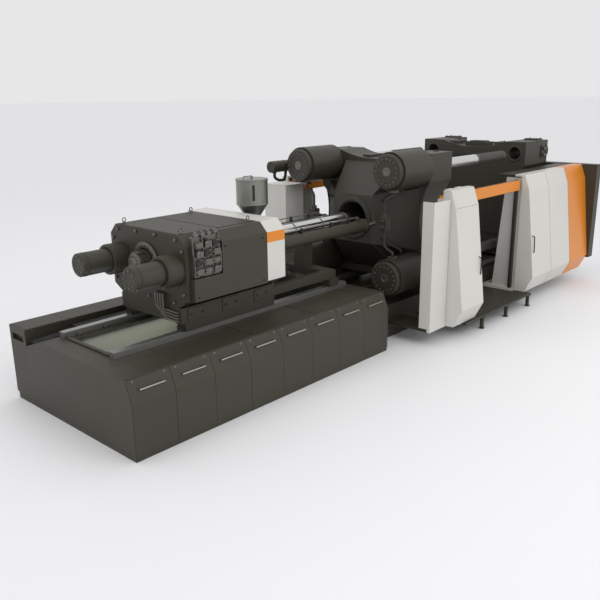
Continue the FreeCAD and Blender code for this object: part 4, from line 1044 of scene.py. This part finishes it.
def skin_strip(maker, x0, x1, z0, z1, side, out, lift):
    """Thin strip that follows the folded outline of a guard."""
    levels = [z0] + [z for z, _ in GUARD_PROFILE if z0 < z < z1] + [z1]
    rows = []
    for z in levels:
        y = skin_y(z, out)
        rows.append([maker.mesh.verts.new(spot) for spot in ((x0, side * (y - 0.004), z),
            (x1, side * (y - 0.004), z), (x1, side * (y + lift), z), (x0, side * (y + lift), z))])
    for low, high in zip(rows, rows[1:]):
        for a in range(4):
            maker.mesh.faces.new((low[a], low[(a + 1) % 4], high[(a + 1) % 4], high[a]))
    maker.mesh.faces.new(rows[0])
    maker.mesh.faces.new(list(reversed(rows[-1])))


def guard_fittings():
    for label, side in (("near", -1), ("far", 1)):
        door = Maker()
        skin_strip(door, along(10.868), along(10.874), 0.30, 2.855, side, 0.0, 0.0012)
        door.done(label + "_rear_door_seam", label + "_rear_door", seam_black)
        grip = Maker()
        y = side * skin_y(HANDLE_Z)
        grip.tube([at(9.96, y - side * 0.01, 1.20), at(9.96, y + side * 0.045, 1.20),
            at(9.96, y + side * 0.025, 1.55), at(9.96, y - side * 0.03, 1.55)], 0.012)
        grip.done(label + "_rear_door_handle", label + "_rear_door", black_paint)

        # Black strip along the upper fold of the door leaf: painted shade at the crease.
        leaf = Maker()
        skin_strip(leaf, along(6.70), along(7.505), 2.538, 2.5415, side, 0.09, 0.0012)
        leaf.done(label + "_front_door_crease_shade", label + "_front_door", seam_black)
        pull = Maker()
        y = side * skin_y(HANDLE_Z, 0.09)
        pull.tube([at(7.44, y + side * 0.01, 1.20), at(7.44, y + side * 0.03, 1.22),
            at(7.44, y + side * 0.02, 1.52), at(7.44, y - side * 0.03, 1.55)], 0.011)
        pull.done(label + "_front_door_handle", label + "_front_door", black_paint)

        end = Maker()
        skin_strip(end, along(11.913), along(11.920), 0.30, 2.855, side, 0.0, 0.0008)
        end.done(label + "_end_guard_seam", "frame", seam_black)

        edge = Maker()
        edge.span(7.10, 9.95, side * 2.336 - 0.006, side * 2.336 + 0.004, 0.243, 0.285)
        for x in (7.804, 8.834, 9.862):
            edge.span(x - 0.05, x + 0.05, side * 2.306 - 0.05, side * 2.306 + 0.05, 0.0, 0.012)
            edge.span(x - 0.045, x + 0.045, side * 2.306 - 0.045, side * 2.306 + 0.045, 0.23,
                0.2435)
        for number in range(10):
            x = along(7.25 + number * 0.29)
            edge.block(x, x + 0.05, min(side * 1.25, side * 2.30), max(side * 1.25, side * 2.30),
                0.215, 0.2435)
        edge.done(label + "_step_frame", "frame", dark_paint, 0.003)

        track = Maker()
        track.span(6.70, 9.80, side * BEAM_Y - 0.02, side * BEAM_Y + 0.02, 2.7565, 2.7571)
        track.span(6.69, 9.81, side * BEAM_Y - 0.03, side * BEAM_Y + 0.03, 2.533, 2.5405)
        track.done(label + "_beam_track", "frame", black_paint, 0.001)


def cabinet_fittings():
    back = along(13.24)
    doors = Maker()
    for low, high in ((-2.39, -1.61), (-1.59, -0.81), (-0.79, -0.01), (0.01, 0.79), (0.81, 1.59),
            (1.61, 2.39)):
        doors.block(back - 0.004, back - 0.0005, low, high, 0.70, 2.84)
    doors.done("end_cabinet_doors", "frame", dark_paint)
    vents = Maker()
    for low in (-2.2, -0.6, 1.0):
        for number in range(14):
            z = 0.80 + number * 0.03
            vents.block(back - 0.006, back, low + 0.1, low + 0.5, z, z + 0.012)
    for y in (-1.65, -0.85, -0.05, 0.75, 1.55, 2.35):
        vents.block(back - 0.006, back, y - 0.04, y - 0.01, 1.70, 1.86)
    vents.done("end_cabinet_vents", "frame", seam_black)
    side = Maker()
    for sign in (-1, 1):
        for z in (0.58, 2.835):
            side.span(12.99, 13.235, sign * 2.41 - 0.002, sign * 2.41 + 0.002, z, z + 0.012)
    side.done("end_cabinet_trims", "frame", seam_black)
    base = Maker()
    for sign in (-1, 1):
        for number in range(9):
            x = along(5.62 + number * 0.84)
            base.block(x, x + 0.80, sign * 1.2 - 0.004, sign * 1.2 + 0.004, 0.05, 0.24)
    base.done("clamp_base_panels", "frame", dark_paint, 0.002)


for fit in (base_fittings, cover_fittings, housing_fittings, drive_fittings, manifold_fittings,
        barrel_fittings, hopper_fittings, carriage_fittings, clamp_fittings, mould_face_fittings,
        moving_fittings, valve_fittings, travel_fittings, guard_fittings, cabinet_fittings):
    fit()


# ---------------------------------------------------------------- floor, light and camera

def floor_finish():
    finish = Finish("pale_floor")
    cloud = finish.noise(0.15, 2.0)
    finish.set("Base Color", finish.mix(cloud, (0.93, 0.93, 0.94), (0.95, 0.95, 0.96)))
    finish.set("Roughness", (0.55 + 0.1 * cloud).clamp())
    return finish.material


def set_stage():
    mesh = bpy.data.meshes.new("floor")
    mesh.from_pydata([(x * FLOOR_REACH, y * FLOOR_REACH, 0) for x, y in ((-1, -1), (1, -1), (1, 1),
        (-1, 1))], [], [(0, 1, 2, 3)])
    floor = bpy.data.objects.new("floor", mesh)
    bpy.context.collection.objects.link(floor)
    mesh.materials.append(floor_finish())
    world = bpy.data.worlds.new("studio")
    bpy.context.scene.world = world
    world.use_nodes = True
    sky = world.node_tree.nodes["Background"]
    sky.inputs["Color"].default_value = (0.80, 0.80, 0.81, 1)
    sky.inputs["Strength"].default_value = 1.0


def panel_light(name, spot, target, width, depth, power, colour=(1, 1, 1)):
    light = bpy.data.lights.new(name, "AREA")
    light.shape = "RECTANGLE"
    light.size = width
    light.size_y = depth
    light.energy = power
    light.color = colour
    lamp = bpy.data.objects.new(name, light)
    bpy.context.collection.objects.link(lamp)
    away = Vector(target) - Vector(spot)
    lamp.visible_camera = False
    lamp.matrix_world = Matrix.Translation(Vector(spot)) @ away.to_track_quat("-Z",
        "Y").to_matrix().to_4x4()


def set_camera():
    yaw, pitch, roll = math.radians(47.368), math.radians(-16.273), math.radians(-0.718)
    ahead = Vector((math.sin(yaw) * math.cos(pitch), math.cos(yaw) * math.cos(pitch),
        math.sin(pitch)))
    level = Vector((math.cos(yaw), -math.sin(yaw), 0))
    upward = level.cross(ahead)
    right = level * math.cos(roll) + upward * math.sin(roll)
    upward = upward * math.cos(roll) - level * math.sin(roll)
    data = bpy.data.cameras.new("camera")
    data.lens = 41.83
    data.sensor_width = 36.0
    data.clip_end = 4000
    camera = bpy.data.objects.new("camera", data)
    bpy.context.collection.objects.link(camera)
    turn = Matrix((right, upward, -ahead)).transposed().to_4x4()
    camera.matrix_world = Matrix.Translation((-11.12, -8.656, 4.537)) @ turn
    bpy.context.scene.camera = camera


set_stage()
panel_light("key_panel", (-2.0, -15.0, 12.0), (0.5, 0.0, 1.5), 18, 9, 650)
panel_light("top_panel", (0.0, 3.0, 15.0), (0.0, 0.0, 0.0), 22, 10, 250)
panel_light("well_panel", at(1.5, 0.0, 1.06), at(1.5, 0.0, 0.0), 1.9, 0.8, 60, (0.80, 0.90, 1.0))
bpy.context.scene.view_settings.view_transform = "Standard"
set_camera()
